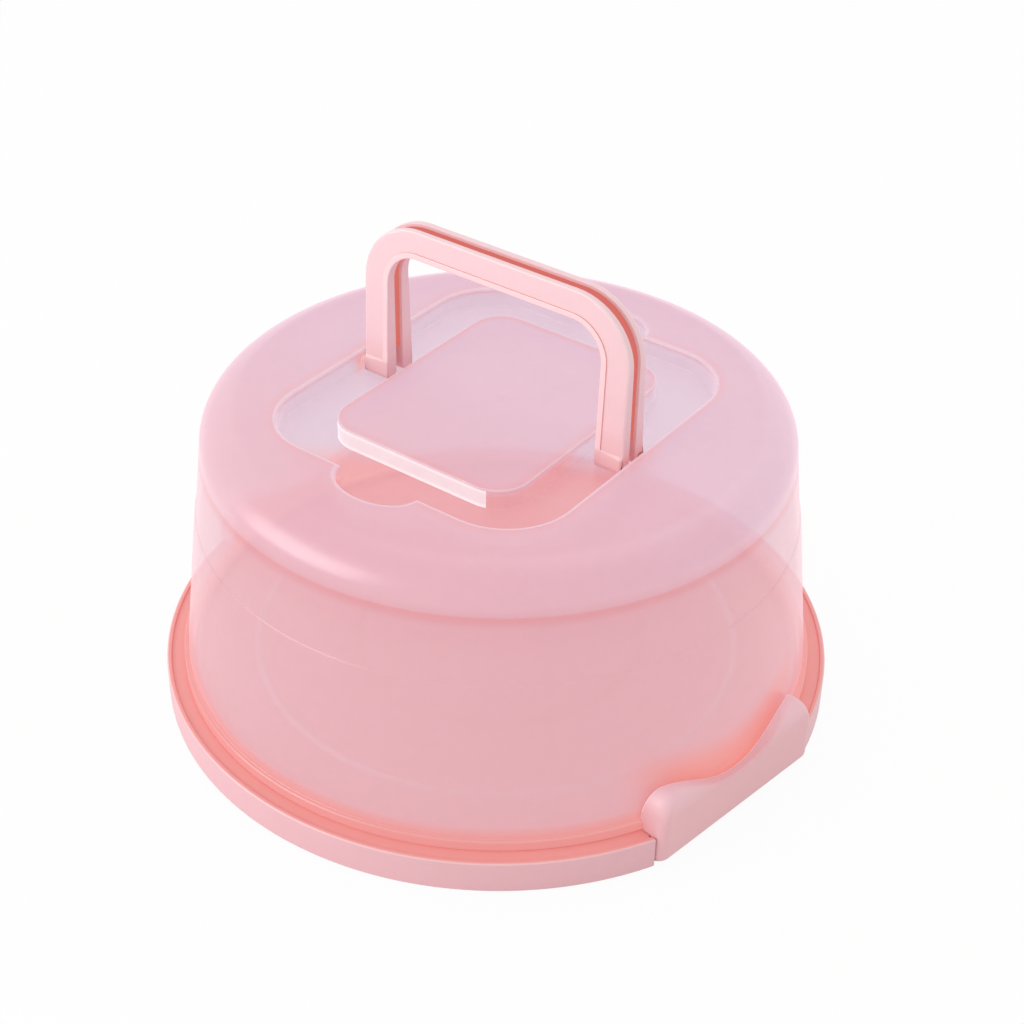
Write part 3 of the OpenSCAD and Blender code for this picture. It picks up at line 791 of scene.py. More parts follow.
def latch_finish(look, sizes):
    """Pink, with a painted highlight that turns it paler towards the two shoulders."""
    def colour(tree, skin, place):
        upper = step_between(tree, place["Height"], sizes.low, sizes.high)
        return blend_colour(tree, upper, look.latch, mixed(look.latch, look.latch_edge, 0.45))
    return plastic("Pink latch", 0.42, 0.55, 0.12, colour)


# Painted highlight along a latch's top edge, brighter still where the skin is scuffed
def latch_highlight_finish(look):
    worn = [min(1.0, c * 1.05) for c in look.latch_edge]
    return plastic("Pale latch edge", 0.36, 0.5, 0.08, speckled(look.latch_edge, worn))


# ---- Tray ----


class CARRIER_OT_tray(Operator):
    """Model the round tray with its channel, centring ring, deck rings, ribs and latch pockets"""
    bl_idname = "carrier.tray"
    bl_label = "Tray"

    def execute(self, context):
        s, l = context.scene.carrier_tray, context.scene.carrier_latch
        rib_low = s.deck - s.wall - s.rib_depth
        rib_top = s.deck - s.wall + 0.0005
        tray = turned_body("tray_body", rounded(self.profile(s, rib_low)))
        for i in range(s.rib_count):
            rib = block((0.0005, -s.rib_width / 2, rib_low + 0.0003),
                        (s.deck_ring_outer, s.rib_width / 2, rib_top))
            combine(tray, turned_about_axis(rib, (i + 0.5) * 2 * pi / s.rib_count), "UNION")
        for side in (0, pi):
            self.pocket(tray, s, l, side)
        tidy_mesh(tray, 2e-6)
        self.soften_pockets(tray, s)
        smooth_finish(tray)
        give_finishes(tray, tray_finish(context.scene.carrier_look, s))
        turned_about_axis(tray, s.turn)
        hand_over(tray, "tray", "tray")
        return {"FINISHED"}

    def profile(self, s, rib_low):
        """Corners of the tray's section as (r, z, radius), from the underside's middle to the deck's."""
        under, rim = s.deck - s.wall, s.radius
        ring, inner, ring_top = s.ring_radius, s.ring_radius - s.ring_width, s.deck + s.ring_height
        bump, fine = s.deck + 0.0008, 0.0004
        corners = [(0, under)]
        for rib in (s.deck_ring_inner, s.deck_ring_outer):
            a, b = rib - s.rib_width / 2, rib + s.rib_width / 2
            corners += [(a, under, fine), (a, rib_low, fine), (b, rib_low, fine), (b, under, fine)]
        corners += [
            (rim - s.wall, under, 0.0012), (rim - s.wall, 0, fine), (rim, 0, 0.0006), (rim, s.height, 0.0007),
            (rim - s.land, s.height, fine), (rim - s.land - 0.0002, s.deck, 0.0003),
            (ring, s.deck, 0.0005), (ring, ring_top, 0.0006), (inner, ring_top, 0.0006),
            (inner, s.deck, 0.0006)]
        for r in (s.deck_ring_outer, s.deck_ring_inner):
            corners += [(r + 0.001, s.deck, 0.0006), (r + 0.0005, bump, fine),
                        (r - 0.0005, bump, fine), (r - 0.001, s.deck, 0.0006)]
        return corners + [(0, s.deck)]

    def pocket(self, tray, s, l, side):
        """Cuts one latch's pocket out of the rim, walls it in and adds the two lugs."""
        half, outer, foot, lap = s.pocket_half, s.pocket_half + s.wall, 0.0002, 0.001
        under = s.deck - s.wall
        swing_clear, rim_clear, eye_clear = 0.0026, 0.0008, 0.00005
        back = l.hinge - l.hinge_height - swing_clear
        reach = sqrt((s.radius - rim_clear) ** 2 - outer ** 2)

        def build(piece, operation="UNION"):
            combine(tray, turned_about_axis(piece, side), operation)
        build(block((s.pocket_face, -half, -lap), (s.radius + 0.01, half, s.height + lap)), "DIFFERENCE")
        build(block((back, -outer, foot), (back + s.wall, outer, under + lap)))
        for end in (-1, 1):
            near, far = sorted((end * half, end * outer))
            build(block((back + lap, near, foot), (reach, far, under + lap)))
            near, far = sorted((end * l.lug_at, end * (l.lug_at + l.lug_width)))
            lug = block((back + lap, near, l.hinge_height - l.eye_radius), (l.hinge, far, under + lap / 2))
            eye = rod((l.hinge, near, l.hinge_height), (l.hinge, far, l.hinge_height), l.eye_radius)
            combine(lug, eye, "UNION")
            hole = rod((l.hinge, near - lap, l.hinge_height), (l.hinge, far + lap, l.hinge_height),
                       l.hinge_radius + eye_clear)
            combine(lug, hole, "DIFFERENCE")
            build(lug)

    def soften_pockets(self, tray, s):
        """Breaks the sharp edges where the rim ends at the pockets."""
        near, rim = 2e-5, s.radius - s.land - 0.0002

        def rim_end(edge, at):
            return (sharp(edge) and abs(abs(at.y) - s.pocket_half) < near
                    and abs(at.x) > s.pocket_face + 0.0005 and hypot(at.x, at.y) > rim)
        open_mesh(tray, "EDGE")
        if pick(tray, rim_end, "edges"):
            bpy.ops.mesh.bevel(offset=0.0003, segments=2, affect="EDGES", clamp_overlap=True)
        close_mesh()


# ---- Dome ----


def quarter_turns(quarter):
    """All four quarters of an outline from its first one, which starts on +X and ends before +Y."""
    first, top = quarter[:-1], quarter[-1]
    half = first + [top] + [(-x, y) for x, y in reversed(first[1:])]
    return half + [(-x, -y) for x, y in half]


# Steps of a quarter outline along its side, round its corner, along its end and round its scoop
SIDE, BEND, END, SCOOP = 10, 14, 6, 12
ROUND = 4 * (SIDE + BEND + END + SCOOP)


def quarter_arc(steps):
    return [pi / 2 * i / steps for i in range(steps + 1)]


def side_and_bend(half_x, half_y, corner):
    """A quarter outline's straight side from +X on, and its rounded corner."""
    side = [(half_x, (half_y - corner) * i / SIDE) for i in range(SIDE)]
    return side + [(half_x - corner + corner * cos(t), half_y - corner + corner * sin(t))
                   for t in quarter_arc(BEND)[:-1]]


def moat_outline(s, grow):
    hx, hy, c = s.moat_width / 2 + grow, s.moat_length / 2 + grow, s.moat_corner + grow
    a, b = s.scoop_width / 2 + grow, s.scoop_reach + grow
    start = asin(grow / b)
    cusp = a * cos(start)
    quarter = side_and_bend(hx, hy, c)
    quarter += [(hx - c + (cusp - hx + c) * i / END, hy) for i in range(END)]
    for i in range(SCOOP + 1):
        t = start + (pi / 2 - start) * i / SCOOP
        quarter.append((a * cos(t), s.moat_length / 2 + b * sin(t)))
    return quarter_turns(quarter)


def platform_outline(s, grow):
    hx, hy, c = s.platform_width / 2 + grow, s.platform_length / 2 + grow, s.platform_corner + grow
    steps = END + SCOOP
    front = [((hx - c) * (1 - i / steps), hy) for i in range(steps + 1)]
    return quarter_turns(side_and_bend(hx, hy, c) + front)


def circle_outline(radius):
    return [(radius * cos(2 * pi * i / ROUND), radius * sin(2 * pi * i / ROUND)) for i in range(ROUND)]


def at_height(outline, z):
    return [Vector((x, y, z)) for x, y in outline]


def stacked(outline, s, steps):
    """Rings of one outline: each step is how far it grows and its height."""
    return [at_height(outline(s, grow), z) for grow, z in steps]


def between(a, b, share_of_b):
    return [(p[0] + (q[0] - p[0]) * share_of_b, p[1] + (q[1] - p[1]) * share_of_b) for p, q in zip(a, b)]


class CARRIER_OT_dome(Operator):
    """Model the translucent dome with its bead, shoulder, moat, finger scoops and platform"""
    bl_idname = "carrier.dome"
    bl_label = "Dome"

    def execute(self, context):
        s, look = context.scene.carrier_dome, context.scene.carrier_look
        dome = laid_rings("dome_shell", self.inner_rings(s) + self.outer_rings(s) + self.top_rings(s))
        for x in (-1, 1):
            for y in (-1, 1):
                self.socket(dome, s, x, y)
        smooth_finish(dome, 44)
        turn = context.scene.carrier_tray.turn
        outer, inner = (look.wall_cover, look.top_cover, look.moat_cover), [look.inner_cover] * 3
        give_finishes(
            dome, dome_finish(look, s, "Frosted dome", outer, 0.3, turn),
            dome_finish(look, s, "Frosted dome inside", inner, 0.45, turn),
            platform_highlight_finish(look, s), moat_edge_highlight_finish(look))
        for number, test in enumerate((self.is_inside, self.takes_painted_highlight, self.is_moat_edge), 1):
            assign_finish(dome, number, lambda face, at: test(face, at, s))
        hand_over(dome, "dome", "dome")
        return {"FINISHED"}

    def inner_rings(self, s):
        """From the middle under the platform, round the moat's tub, down the inside of the wall."""
        roof, floor = s.top - s.wall, s.top - s.moat_depth - s.wall
        w, e, bend = s.wall, s.edge, s.edge * 0.3
        rings = stacked(platform_outline, s, [
            (-w - 0.012, roof), (-w - e, roof), (-w - bend, roof - bend), (-w, roof - e), (-w, floor + e),
            (-w + bend, floor + bend), (-w + e, floor)])
        rings += stacked(moat_outline, s, [
            (w - e, floor), (w - bend, floor + bend), (w, floor + e), (w, roof - e),
            (w + bend, roof - bend), (w + e, roof), (w + 3 * e, roof)])
        flat = circle_outline(s.shoulder_radius - s.shoulder_run)
        rings.append(at_height(between(moat_outline(s, w + 3 * e), flat, 0.6), roof))
        return rings + [at_height(circle_outline(r), z) for r, z in self.wall_profile(s, w)]

    def wall_profile(self, s, inset):
        """Radius and height of the wall from the flat top down to the flare, moved in by inset."""
        flat, z0 = s.shoulder_radius - s.shoulder_run, s.top - s.shoulder_height
        points, bend_steps, high_steps, low_steps, above, below = [], 14, 4, 7, 0.0004, 0.0008
        run, rise = s.shoulder_run - inset, s.shoulder_height - inset
        for t in (pi / 2 * (1 - i / bend_steps) for i in range(bend_steps + 1)):
            points.append((flat + run * cos(t), z0 + rise * sin(t)))
        flare_z = s.seat + s.bead_height + s.flare
        slope = (s.wall_radius - s.shoulder_radius - s.step) / (z0 - flare_z)
        step_z = s.seat + s.step_height
        step_r = s.wall_radius - slope * (step_z - flare_z)
        for i in range(1, high_steps + 1):
            z = z0 + (step_z + above - z0) * i / high_steps
            points.append((s.shoulder_radius + slope * (z0 - z) - inset, z))
        points += [(step_r - inset - s.step * 0.5, step_z - below / 4), (step_r - inset, step_z - below)]
        for i in range(1, low_steps + 1):
            z = step_z - below + (flare_z - step_z + below) * i / low_steps
            points.append((step_r + slope * (step_z - z) - inset, z))
        return points

    def outer_rings(self, s):
        """Round the bead from its inside, then up the outside of the wall to the flat top."""
        low, high, r = s.seat, s.seat + s.bead_height, s.bead_radius
        inside, groove, roof = r - s.bead_width, r - 0.0014, low + 0.0024
        corners = [
            (inside, low + 0.003), (inside, low, 0.0004), (inside + 0.0012, low, 0.0003),
            (inside + 0.0012, roof, 0.0003), (groove, roof, 0.0003), (groove, low, 0.0003), (r, low, 0.0005),
            (r, high, 0.0009), (s.foot_radius, high, 0.0004), (s.foot_radius - 0.0001, high + 0.0006)]
        profile = [tuple(p) for p in rounded(corners)]
        flare_run = s.foot_radius - s.wall_radius
        for t in (pi / 8 * i for i in range(1, 5)):
            profile.append((s.foot_radius - flare_run * sin(t), high + s.flare * (1 - cos(t))))
        profile += list(reversed(self.wall_profile(s, 0)))[1:]
        return [at_height(circle_outline(r), z) for r, z in profile]

    def top_rings(self, s):
        """From the flat top into the moat, across its floor, up the platform and to its middle."""
        e, top, floor, inset = s.edge, s.top, s.top - s.moat_depth, -0.008
        turns = quarter_arc(5)
        flat = circle_outline(s.shoulder_radius - s.shoulder_run)
        rings = [at_height(between(flat, moat_outline(s, 3 * e), share_in), top) for share_in in (0.4, 0.8)]
        down = [(e * (1 - sin(t)), top - e * (1 - cos(t))) for t in turns[1:]]
        down += [(-e * (1 - cos(t)), floor + e * (1 - sin(t))) for t in turns]
        rings += stacked(moat_outline, s, [(3 * e, top), (1.6 * e, top)] + down + [(-2 * e, floor)])
        up = [(e * (1 - sin(t)), floor + e * (1 - cos(t))) for t in turns]
        up += [(-e * 0.7 * (1 - cos(t)), top - e * 0.7 * (1 - sin(t))) for t in turns]
        rings += stacked(platform_outline, s, [(2 * e, floor)] + up + [(-2 * e, top), (inset, top)])
        dimple = [(0.0026, 0), (0.0019, 0.0003), (0.001, 0.0003), (0.0008, 0.0001)]
        rings.append(at_height(between(platform_outline(s, inset), circle_outline(dimple[0][0]), 0.6), top))
        return rings + [at_height(circle_outline(r), top - drop) for r, drop in dimple]

    def socket(self, dome, s, x, y):
        """One boss outside the moat's wall with its blind pivot hole."""
        side, centre = x * s.moat_width / 2, (y * s.pivot_offset, s.pivot_height)
        lap, end_wall, boss_radius = 0.001, 0.002, 0.0036
        boss = rod((side + x * lap, *centre), (side + x * (s.socket_depth + end_wall), *centre), boss_radius)
        combine(dome, boss, "UNION")
        hole = rod((side - x * lap, *centre), (side + x * s.socket_depth, *centre), s.pivot_radius)
        combine(dome, hole, "DIFFERENCE")

    def is_inside(self, face, at, s):
        """The inner skin, which faces the cake."""
        out = Vector((at.x, at.y, 0)).normalized()
        if at.z < s.seat + s.bead_height or at.z > s.top - 0.0003 or face.normal.z > 0.3:
            return False
        if hypot(at.x, at.y) > s.shoulder_radius - s.shoulder_run - 0.0005:
            return face.normal.dot(out) < -0.05 or face.normal.z < -0.3
        return face.normal.z < -0.3 or not self.in_moat(at, s, s.wall / 2)

    def takes_painted_highlight(self, face, at, s):
        """The platform's upright front, which takes the painted highlight."""
        return (face.normal.y < -0.6 and abs(face.normal.z) < 0.5 and s.top - s.moat_depth < at.z < s.top
                and -s.moat_length / 2 < at.y < 0 and self.in_moat(at, s, s.wall / 2)
                and at.x < s.platform_width / 2 - s.platform_corner * 0.7)

    def is_moat_edge(self, face, at, s):
        """The rounded edge between the flat top and the moat's wall, which takes the painted highlight."""
        return (s.top - s.edge < at.z < s.top - 1e-6 and face.normal.z > 0.1
                and self.in_moat(at, s, s.edge * 1.2) and not self.in_moat(at, s, -s.edge * 0.2))

    def in_moat(self, at, s, slack):
        """Whether a point lies between the moat's outline and the platform's, give or take a little."""
        def from_outline(half_x, half_y, corner):
            x, y = abs(at.x) - half_x + corner, abs(at.y) - half_y + corner
            return hypot(max(x, 0), max(y, 0)) + min(max(x, y), 0) - corner
        moat = from_outline(s.moat_width / 2, s.moat_length / 2, s.moat_corner)
        far = hypot(at.x / s.scoop_width * 2, (abs(at.y) - s.moat_length / 2) / s.scoop_reach)
        scoop = (far - 1) * s.scoop_reach
        platform = from_outline(s.platform_width / 2, s.platform_length / 2, s.platform_corner)
        return min(moat, scoop) < slack and platform > -slack


# ---- Handles ----


class CARRIER_OT_handles(Operator):
    """Model the front handle with its lip, hollow back and pivot stubs, and copy it to the rear"""
    bl_idname = "carrier.handles"
    bl_label = "Handles"

    def execute(self, context):
        s, d = context.scene.carrier_handle, context.scene.carrier_dome
        look = context.scene.carrier_look
        handle = self.bow(s, d)
        for shape in (self.lean, self.raise_lip, self.round_feet, self.soften, self.hollow):
            shape(handle, s, d)
        for side in (-1, 1):
            pivot = (-d.pivot_offset, d.pivot_height)
            stub = rod((side * (s.span / 2 - 0.002), *pivot), (side * s.stub_end, *pivot), s.stub_radius)
            combine(handle, stub, "UNION")
        tidy_mesh(handle)
        give_finishes(handle, handle_finish(look), hollow_shade_finish(look), handle_highlight_finish(look))
        self.tint_parts(handle, s, d)
        smooth_finish(handle)
        handle.name = handle.data.name = "front_handle"
        rear = copy_of(handle, "rear_handle", pi)
        hand_over(handle, "handle_front", "handle_front")
        hand_over(rear, "handle_rear", "handle_rear")
        return {"FINISHED"}

    def across(self, at, s):
        """Distance of a point from the handle's outer contour, seen from the front."""
        x, z = abs(at.x), at.z
        cx, cz = s.span / 2 - s.corner, s.top - s.corner
        if x > cx and z > cz:
            return s.corner - hypot(x - cx, z - cz)
        return s.span / 2 - x if z <= cz else s.top - z

    def front_y(self, z, s, d):
        """The face of the front handle at a height, without its lip."""
        t = (z - d.pivot_height) / (s.top - d.pivot_height)
        foot, bar = s.foot_gap / 2 + s.foot_depth, s.bar_gap / 2 + s.bar_depth
        return -(foot + (bar - foot) * t) + s.lip_step

    def back_y(self, z, s, d):
        t = (z - d.pivot_height) / (s.top - d.pivot_height)
        return -(s.foot_gap / 2 + (s.bar_gap - s.foot_gap) / 2 * t)

    def bow(self, s, d):
        """A plane at the left foot, drawn up the leg, spun round the corner, along the bar and down."""
        nothing_selected()
        left, right, bottom = -s.span / 2, -s.span / 2 + s.leg, d.pivot_height
        front, back = -s.foot_gap / 2 - s.foot_depth, -s.foot_gap / 2
        bpy.ops.mesh.primitive_plane_add(size=1, location=((left + right) / 2, (front + back) / 2, bottom))
        bpy.context.object.scale = (s.leg, s.foot_depth, 1)
        bow = placed()
        open_mesh(bow)
        take_all()
        bpy.ops.mesh.bisect(plane_co=(right - s.lip, 0, 0), plane_no=(1, 0, 0))
        take_all()
        bend_x, bend_z, bend_steps = s.span / 2 - s.corner, s.top - s.corner, 14
        rises = [b - a for a, b in zip((bottom, s.ledge, s.hollow_from), (s.ledge, s.hollow_from, bend_z))]
        for rise in rises:
            draw_on((0, 0, rise))
        bpy.ops.mesh.spin(steps=bend_steps, angle=-pi / 2, center=(-bend_x, 0, bend_z), axis=(0, 1, 0))
        draw_on((2 * bend_x, 0, 0))
        bpy.ops.mesh.spin(steps=bend_steps, angle=-pi / 2, center=(bend_x, 0, bend_z), axis=(0, 1, 0))
        for rise in reversed(rises):
            draw_on((0, 0, -rise))
        close_mesh()
        tidy_mesh(bow)
        return bow

    def lean(self, handle, s, d):
        """Leans the face back towards the bar and thins the bar from inside."""
        split = -(s.foot_gap + s.foot_depth) / 2
        bend_x, bend_z = s.span / 2 - s.corner, s.top - s.corner

        def leant(at):
            z, inward = at.z, self.across(at, s) / s.leg
            if z > bend_z and inward > 0.01:
                turn = atan2(z - bend_z, max(0.0, abs(at.x) - bend_x)) / (pi / 2)
                z += (s.leg - s.bar) * inward * turn
            return (at.x, self.front_y(z, s, d) if at.y < split else self.back_y(z, s, d), z)
        open_mesh(handle, "VERT")
        move_vertices(handle, leant, selected=False)
        close_mesh()

    def raise_lip(self, handle, s, d):
        """Raises the band along the inner edge and the front of both feet."""
        lip_line, ledge_slope = s.leg - s.lip - 0.0004, 0.0013

        def lip(face, at):
            return face.normal.y < -0.9 and (self.across(at, s) > lip_line or at.z < s.ledge)

        def sloped(at):
            low = abs(at.z - s.ledge) < 1e-6 and self.across(at, s) < lip_line
            return at - Vector((0, 0, ledge_slope)) if low else at
        open_mesh(handle)
        pick(handle, lip)
        draw_on((0, -s.lip_step, 0))
        move_vertices(handle, sloped)
        close_mesh()

    def round_feet(self, handle, s, d):
        """Rounds the feet about their pivots."""
        def foot(face, at):
            return face.normal.z < -0.9 and at.z < d.pivot_height + 1e-5
        open_mesh(handle)
        pick(handle, foot)
        steps, last_turn = 9, radians(84)
        turns = [last_turn * k / steps for k in range(steps + 1)]
        for last, turn in zip(turns, turns[1:]):
            draw_on()
            low = d.pivot_height - s.foot_depth / 2 * sin(turn)
            narrower = cos(turn) / cos(last)
            move_vertices(handle, lambda at: (
                at.x, (at.y + d.pivot_offset) * narrower - d.pivot_offset, low))
        close_mesh()

    def soften(self, handle, s, d):
        """Rounds the long edges, breaks the lip's small ones and keeps the feet within their radius."""
        split = -(s.foot_gap + s.foot_depth) / 2
        outer, inner, past_outer, before_inner = 0.0003, s.bar - 0.0006, 0.002, s.bar - 0.001

        def outer_front(inward, y):
            return inward < outer and y < split

        def other_long(inward, y):
            return inward > inner or inward < outer and y > split

        def lip_edge(inward, y):
            return past_outer < inward < before_inner

        def within_radius(at):
            y, z = at.y + d.pivot_offset, at.z - d.pivot_height
            over = hypot(y, z) / (s.foot_depth / 2)
            if z < 0 and over > 1:
                return (at.x, y / over - d.pivot_offset, z / over + d.pivot_height)
            return at
        open_mesh(handle, "EDGE")
        for test, offset, segments in ((outer_front, s.face_edge, 4), (other_long, s.edge, 3),
                                       (lip_edge, s.lip_step * 0.45, 2)):
            pick(handle, lambda edge, at: sharp(edge, 60) and test(self.across(at, s), at.y), "edges")
            bpy.ops.mesh.bevel(offset=offset, segments=segments, affect="EDGES", clamp_overlap=False)
        move_vertices(handle, within_radius, selected=False)
        close_mesh()

    def hollow(self, handle, s, d):
        """Insets the back and pushes it in to leave the channel section."""
        def back(face, at):
            return face.normal.y > 0.9 and at.z > s.hollow_from - 1e-5
        open_mesh(handle)
        pick(handle, back)
        bpy.ops.mesh.inset(thickness=s.wall - s.edge, depth=0, use_even_offset=True)
        move_vertices(handle, lambda at: (at.x, self.back_y(at.z, s, d), at.z))
        draw_on((0, -0.001, 0))
        move_vertices(handle, lambda at: (at.x, self.front_y(at.z, s, d) - s.lip_step + s.wall, at.z))
        close_mesh()

    def tint_parts(self, handle, s, d):
        """Painted shade and highlight: the channel and the groove beside the lip turn a deeper coral, the lip
        and the soft edges a paler pink.
        """
        groove = (s.leg - s.lip) * s.bar / s.leg - 0.0006

        # Painted shade: the faces of the channel and of the groove beside the lip
        def deep(face, at):
            inward = self.across(at, s)
            if at.y < self.front_y(at.z, s, d) + 0.0006:
                return groove < inward < s.leg - s.lip + 0.0005 and abs(face.normal.y) < 0.6
            in_channel = s.wall * 0.9 < inward < s.leg - s.wall * 0.85
            return at.z > s.hollow_from and at.y < self.back_y(at.z, s, d) - 0.0004 and in_channel

        # Painted highlight: the lip and the soft edges of the face
        def pale(face, at):
            soft = 0.15 < -face.normal.y < 0.97
            return at.z > s.ledge - 0.002 and (soft or face.normal.y < -0.9 and self.across(at, s) > groove)
        assign_finish(handle, 1, deep)
        assign_finish(handle, 2, pale)


# ---- Latches ----


class CARRIER_OT_latches(Operator):
    """Model the right latch with its waved top, hook and hinge ribs, and copy it to the left"""
    bl_idname = "carrier.latches"
    bl_label = "Latches"

    def execute(self, context):
        s, turn = context.scene.carrier_latch, context.scene.carrier_tray.turn
        look = context.scene.carrier_look
        latch = laid_rings("right_latch", [self.section(s, t, full) for t, full in self.stations(s)])
        for side in (-1, 1):
            self.rib(latch, s, side)
        tidy_mesh(latch)
        smooth_finish(latch, 42)
        give_finishes(latch, latch_finish(look, s), latch_highlight_finish(look))
        assign_finish(latch, 1, lambda face, at: self.on_edge(face, at, s))
        left = copy_of(latch, "left_latch", pi + turn)
        turned_about_axis(latch, turn)
        hand_over(latch, "latch_right", "latch_right")
        hand_over(left, "latch_left", "latch_left")
        return {"FINISHED"}

    def stations(self, s):
        """Places along the latch, and whether the end wall fills the section there."""
        flat, inside, wave_steps, end_steps = s.half - s.end_run, s.half - s.wall, 16, 12
        places = [flat * (i / wave_steps - 1) for i in range(2 * wave_steps + 1)]
        ends = [flat + s.end_run * sin(pi / 2 * k / end_steps) for k in range(1, end_steps + 1)]
        ends = sorted(set(ends + [inside]))
        out = []
        for t in [-e for e in reversed(ends)] + places + ends:
            if abs(abs(t) - inside) < 1e-9:
                out += [(t, True), (t, False)] if t < 0 else [(t, False), (t, True)]
            else:
                out.append((t, abs(t) > inside))
        return out

    def top_at(self, s, t):
        flat, t, wave_power = s.half - s.end_run, abs(t), 1.2
        if t <= flat:
            return s.low + (s.high - s.low) * ((1 - cos(pi * t / flat)) / 2) ** wave_power
        return s.high - s.end_drop + s.end_drop * sqrt(max(0.0, 1 - ((t - flat) / s.end_run) ** 2))

    def section(self, s, t, full):
        """One section across the latch: toe, face, rounded top, hook and the inside of the wall."""
        past = max(0.0, abs(t) - (s.half - s.corner))
        face = s.face - (s.corner - sqrt(max(0.0, s.corner ** 2 - past ** 2)))
        top, low, fine = self.top_at(s, t), s.lift + s.toe, 0.0003
        thick_from, thick_run = 0.016, 0.019
        rise = min(1.0, max(0.0, (abs(t) - thick_from) / thick_run))
        soft = s.thin_edge + (s.full_edge - s.thin_edge) * rise * rise * (3 - 2 * rise)
        hook = sqrt(s.hook_radius ** 2 - t * t)
        soft = min(soft, (face - hook) * 0.85, top - low - 0.001)
        inner = min(s.back if full else face - s.wall, face - 2 * fine)
        upper = min(max(hook, sqrt(s.bead_clear ** 2 - t * t)) if full else inner, inner)
        under = min(s.hook_height, top - soft * 0.2 - fine)
        centre = face - s.toe
        start = -pi / 2 if inner <= centre else -acos(min(1.0, (inner - centre) / s.toe))
        points = [(inner, low + s.toe * sin(start))]
        for a in (start - start * k / 6 for k in range(7)):
            points.append((centre + s.toe * cos(a), low + s.toe * sin(a)))
        points += [(face, low + (top - soft - low) * k / 6) for k in range(1, 6)]
        points += [(face - soft + soft * cos(a), top - soft + soft * sin(a)) for a in quarter_arc(8)]
        lip = min(0.0005, (face - soft - hook) * 0.4)
        points += [(hook + lip, top), (hook + lip * 0.3, top - lip * 0.3), (hook, top - lip)]
        points += [(hook, under), (upper, under), (upper, s.deck_clear), (inner, s.deck_clear)]
        points += [(inner, s.deck_clear + (points[0][1] - s.deck_clear) * k / 4) for k in range(1, 4)]
        return [Vector((n, t, z)) for n, z in points]

    def on_edge(self, face, at, s):
        """The thin line along the hook's top edge, which takes the painted highlight."""
        return (hypot(at.x, at.y) < s.hook_radius + 0.0004 and at.z > s.hook_height + 0.0005
                and face.normal.z > 0.2)

    def rib(self, latch, s, side):
        """The rib beside a tray lug, with the stub that turns in the lug's eye."""
        near, far = s.lug_at - s.gap - s.lug_width, s.lug_at - s.gap
        a, b = sorted((side * near, side * far))
        hinge_x, hinge_z, rib_top = s.hinge, s.hinge_height, 0.0124
        rib = block((hinge_x, a, hinge_z - s.eye_radius), (s.face - s.wall * 0.5, b, rib_top))
        combine(rib, rod((hinge_x, a, hinge_z), (hinge_x, b, hinge_z), s.eye_radius), "UNION")
        start, end = side * (far - 0.001), side * (s.lug_at + s.lug_width - 0.0005)
        combine(rib, rod((hinge_x, start, hinge_z), (hinge_x, end, hinge_z), s.hinge_radius), "UNION")
        combine(latch, rib, "UNION")


# ---- Stage ----


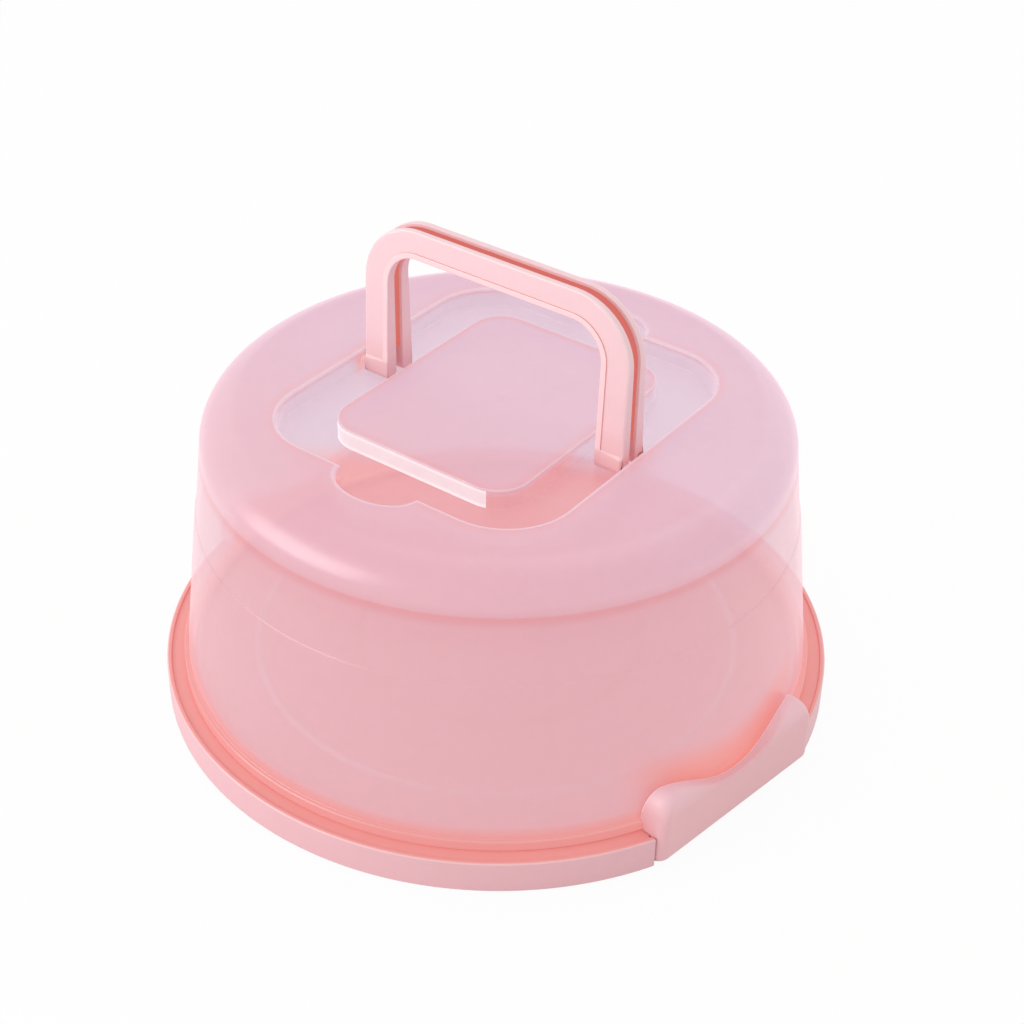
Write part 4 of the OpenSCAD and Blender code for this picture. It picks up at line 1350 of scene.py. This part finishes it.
class CARRIER_OT_stage(Operator):
    """Set up the pale floor, the soft light and the camera"""
    bl_idname = "carrier.stage"
    bl_label = "Stage"

    def execute(self, context):
        look = context.scene.carrier_stage
        self.camera(context.scene, look)
        self.room(context.scene, look)
        self.floor()
        turn = look.camera_turn
        side = self.softbox("Side light", turn - radians(70), rise=19, away=1.15, size=0.6,
                            power=look.key_light)
        side.visible_glossy = False
        shine = self.softbox("Shine light", turn - radians(70), rise=15, away=1.2, size=1.0,
                             power=look.shine_light)
        shine.visible_diffuse = False
        self.softbox("Top light", turn + radians(160), rise=68, away=1.2, size=0.9, power=look.top_light)
        context.scene.view_settings.view_transform = "Standard"
        return {"FINISHED"}

    def camera(self, scene, look):
        """A camera on the photograph's viewing line; the tray's middle lies a little off the picture's."""
        focal, frame_side, tray_in_frame = 1930.0, 1024.0, (495.1, 654.0)
        rise, away = look.camera_rise, look.camera_distance
        across, down = (atan2(pixel - frame_side / 2, focal) for pixel in tray_in_frame)
        pitch, yaw = down - rise, -across
        ahead = Vector((sin(yaw) * cos(pitch), cos(yaw) * cos(pitch), sin(pitch)))
        right = Vector((cos(yaw), -sin(yaw), 0))
        up = right.cross(ahead)
        c, q = cos(look.camera_roll), sin(look.camera_roll)
        spot = Vector((0, -away * cos(rise), away * sin(rise)))
        columns = (c * right + q * up, c * up - q * right, -ahead, spot)
        matrix = Matrix([[column[row] for column in columns] for row in range(3)] + [(0, 0, 0, 1)])
        data, sensor = bpy.data.cameras.new("Camera"), 36
        data.sensor_width, data.lens = sensor, focal * sensor / frame_side
        data.clip_start, data.clip_end = 0.01, 50
        camera = bpy.data.objects.new("Camera", data)
        camera.matrix_world = Matrix.Rotation(look.camera_turn, 4, "Z") @ matrix
        scene.collection.objects.link(camera)
        scene.camera = camera

    def see_white(self, tree, white_kind, share_of_white, light, output):
        """A share of white for rays from the camera, a reflection or a clear material, else the light."""
        rays = tree.nodes.new("ShaderNodeLightPath").outputs
        seen = math_node(tree, "MAXIMUM", rays["Is Camera Ray"], rays["Is Glossy Ray"])
        seen = times(tree, math_node(tree, "MAXIMUM", seen, rays["Is Transmission Ray"]), share_of_white)
        white = put(tree, white_kind, Color=(1, 1, 1, 1), Strength=1.0)
        shown = put(tree, "ShaderNodeMixShader", i0=seen, i1=light.outputs[0], i2=white.outputs[0])
        put(tree, output, Surface=shown.outputs[0])

    def room(self, scene, look):
        scene.world = bpy.data.worlds.new("White room")
        scene.world.use_nodes = True
        tree = scene.world.node_tree
        tree.nodes.clear()
        light = put(tree, "ShaderNodeBackground", Color=(1.0, 0.985, 0.985, 1), Strength=look.room_light)
        self.see_white(tree, "ShaderNodeBackground", 1.0, light, "ShaderNodeOutputWorld")

    def floor(self):
        """A wide floor that shows almost white and keeps the carrier's soft shadow."""
        width, below, white_share = 8, 0.0003, 0.94
        nothing_selected()
        bpy.ops.mesh.primitive_plane_add(size=width, location=(0, 0, -below))
        floor = bpy.context.object
        floor.name = "Floor"
        paint = bpy.data.materials.new("White floor")
        paint.use_nodes = True
        tree = paint.node_tree
        tree.nodes.clear()
        matt = put(tree, "ShaderNodeBsdfDiffuse", Color=(0.9, 0.9, 0.9, 1))
        self.see_white(tree, "ShaderNodeEmission", white_share, matt, "ShaderNodeOutputMaterial")
        floor.data.materials.append(paint)

    def softbox(self, name, turn, rise, away, size, power):
        """An area light that faces the carrier: rise in degrees, away and size in metres."""
        data, rise = bpy.data.lights.new(name, "AREA"), radians(rise)
        data.size, data.energy = size, power
        lamp = bpy.data.objects.new(name, data)
        back = Vector((sin(turn) * cos(rise), -cos(turn) * cos(rise), sin(rise)))
        lamp.location = back * away
        lamp.rotation_euler = (-back).to_track_quat("-Z", "Y").to_euler()
        bpy.context.scene.collection.objects.link(lamp)
        return lamp


# ---- Panel and registration ----


class CARRIER_PT_sidebar(Panel):
    bl_label = "Cake carrier"
    bl_idname = "CARRIER_PT_sidebar"
    bl_space_type = "VIEW_3D"
    bl_region_type = "UI"
    bl_category = "Carrier"

    def draw(self, context):
        for step in STEPS:
            self.layout.operator(f"carrier.{step}")
        for name in GROUPS:
            box = self.layout.box()
            box.label(text=name.replace("carrier_", "").title())
            owner = getattr(context.scene, name)
            for key in owner.bl_rna.properties.keys():
                if key not in ("rna_type", "name"):
                    box.prop(owner, key)


STEPS = ("stage", "tray", "dome", "handles", "latches")
GROUPS = {"carrier_tray": TraySizes, "carrier_dome": DomeSizes, "carrier_handle": HandleSizes,
          "carrier_latch": LatchSizes, "carrier_look": Finishes, "carrier_stage": StageLook}
CLASSES = (*GROUPS.values(), CARRIER_OT_stage, CARRIER_OT_tray, CARRIER_OT_dome, CARRIER_OT_handles,
           CARRIER_OT_latches, CARRIER_PT_sidebar)


def register():
    for made in CLASSES:
        bpy.utils.register_class(made)
    for name, made in GROUPS.items():
        setattr(bpy.types.Scene, name, PointerProperty(type=made))


def unregister():
    for name in GROUPS:
        delattr(bpy.types.Scene, name)
    for made in reversed(CLASSES):
        bpy.utils.unregister_class(made)


def main():
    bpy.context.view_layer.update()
    register()
    moulded_skin_group()
    round_place_group()
    for step in STEPS:
        getattr(bpy.ops.carrier, step)()


if __name__ == "__main__":
    main()
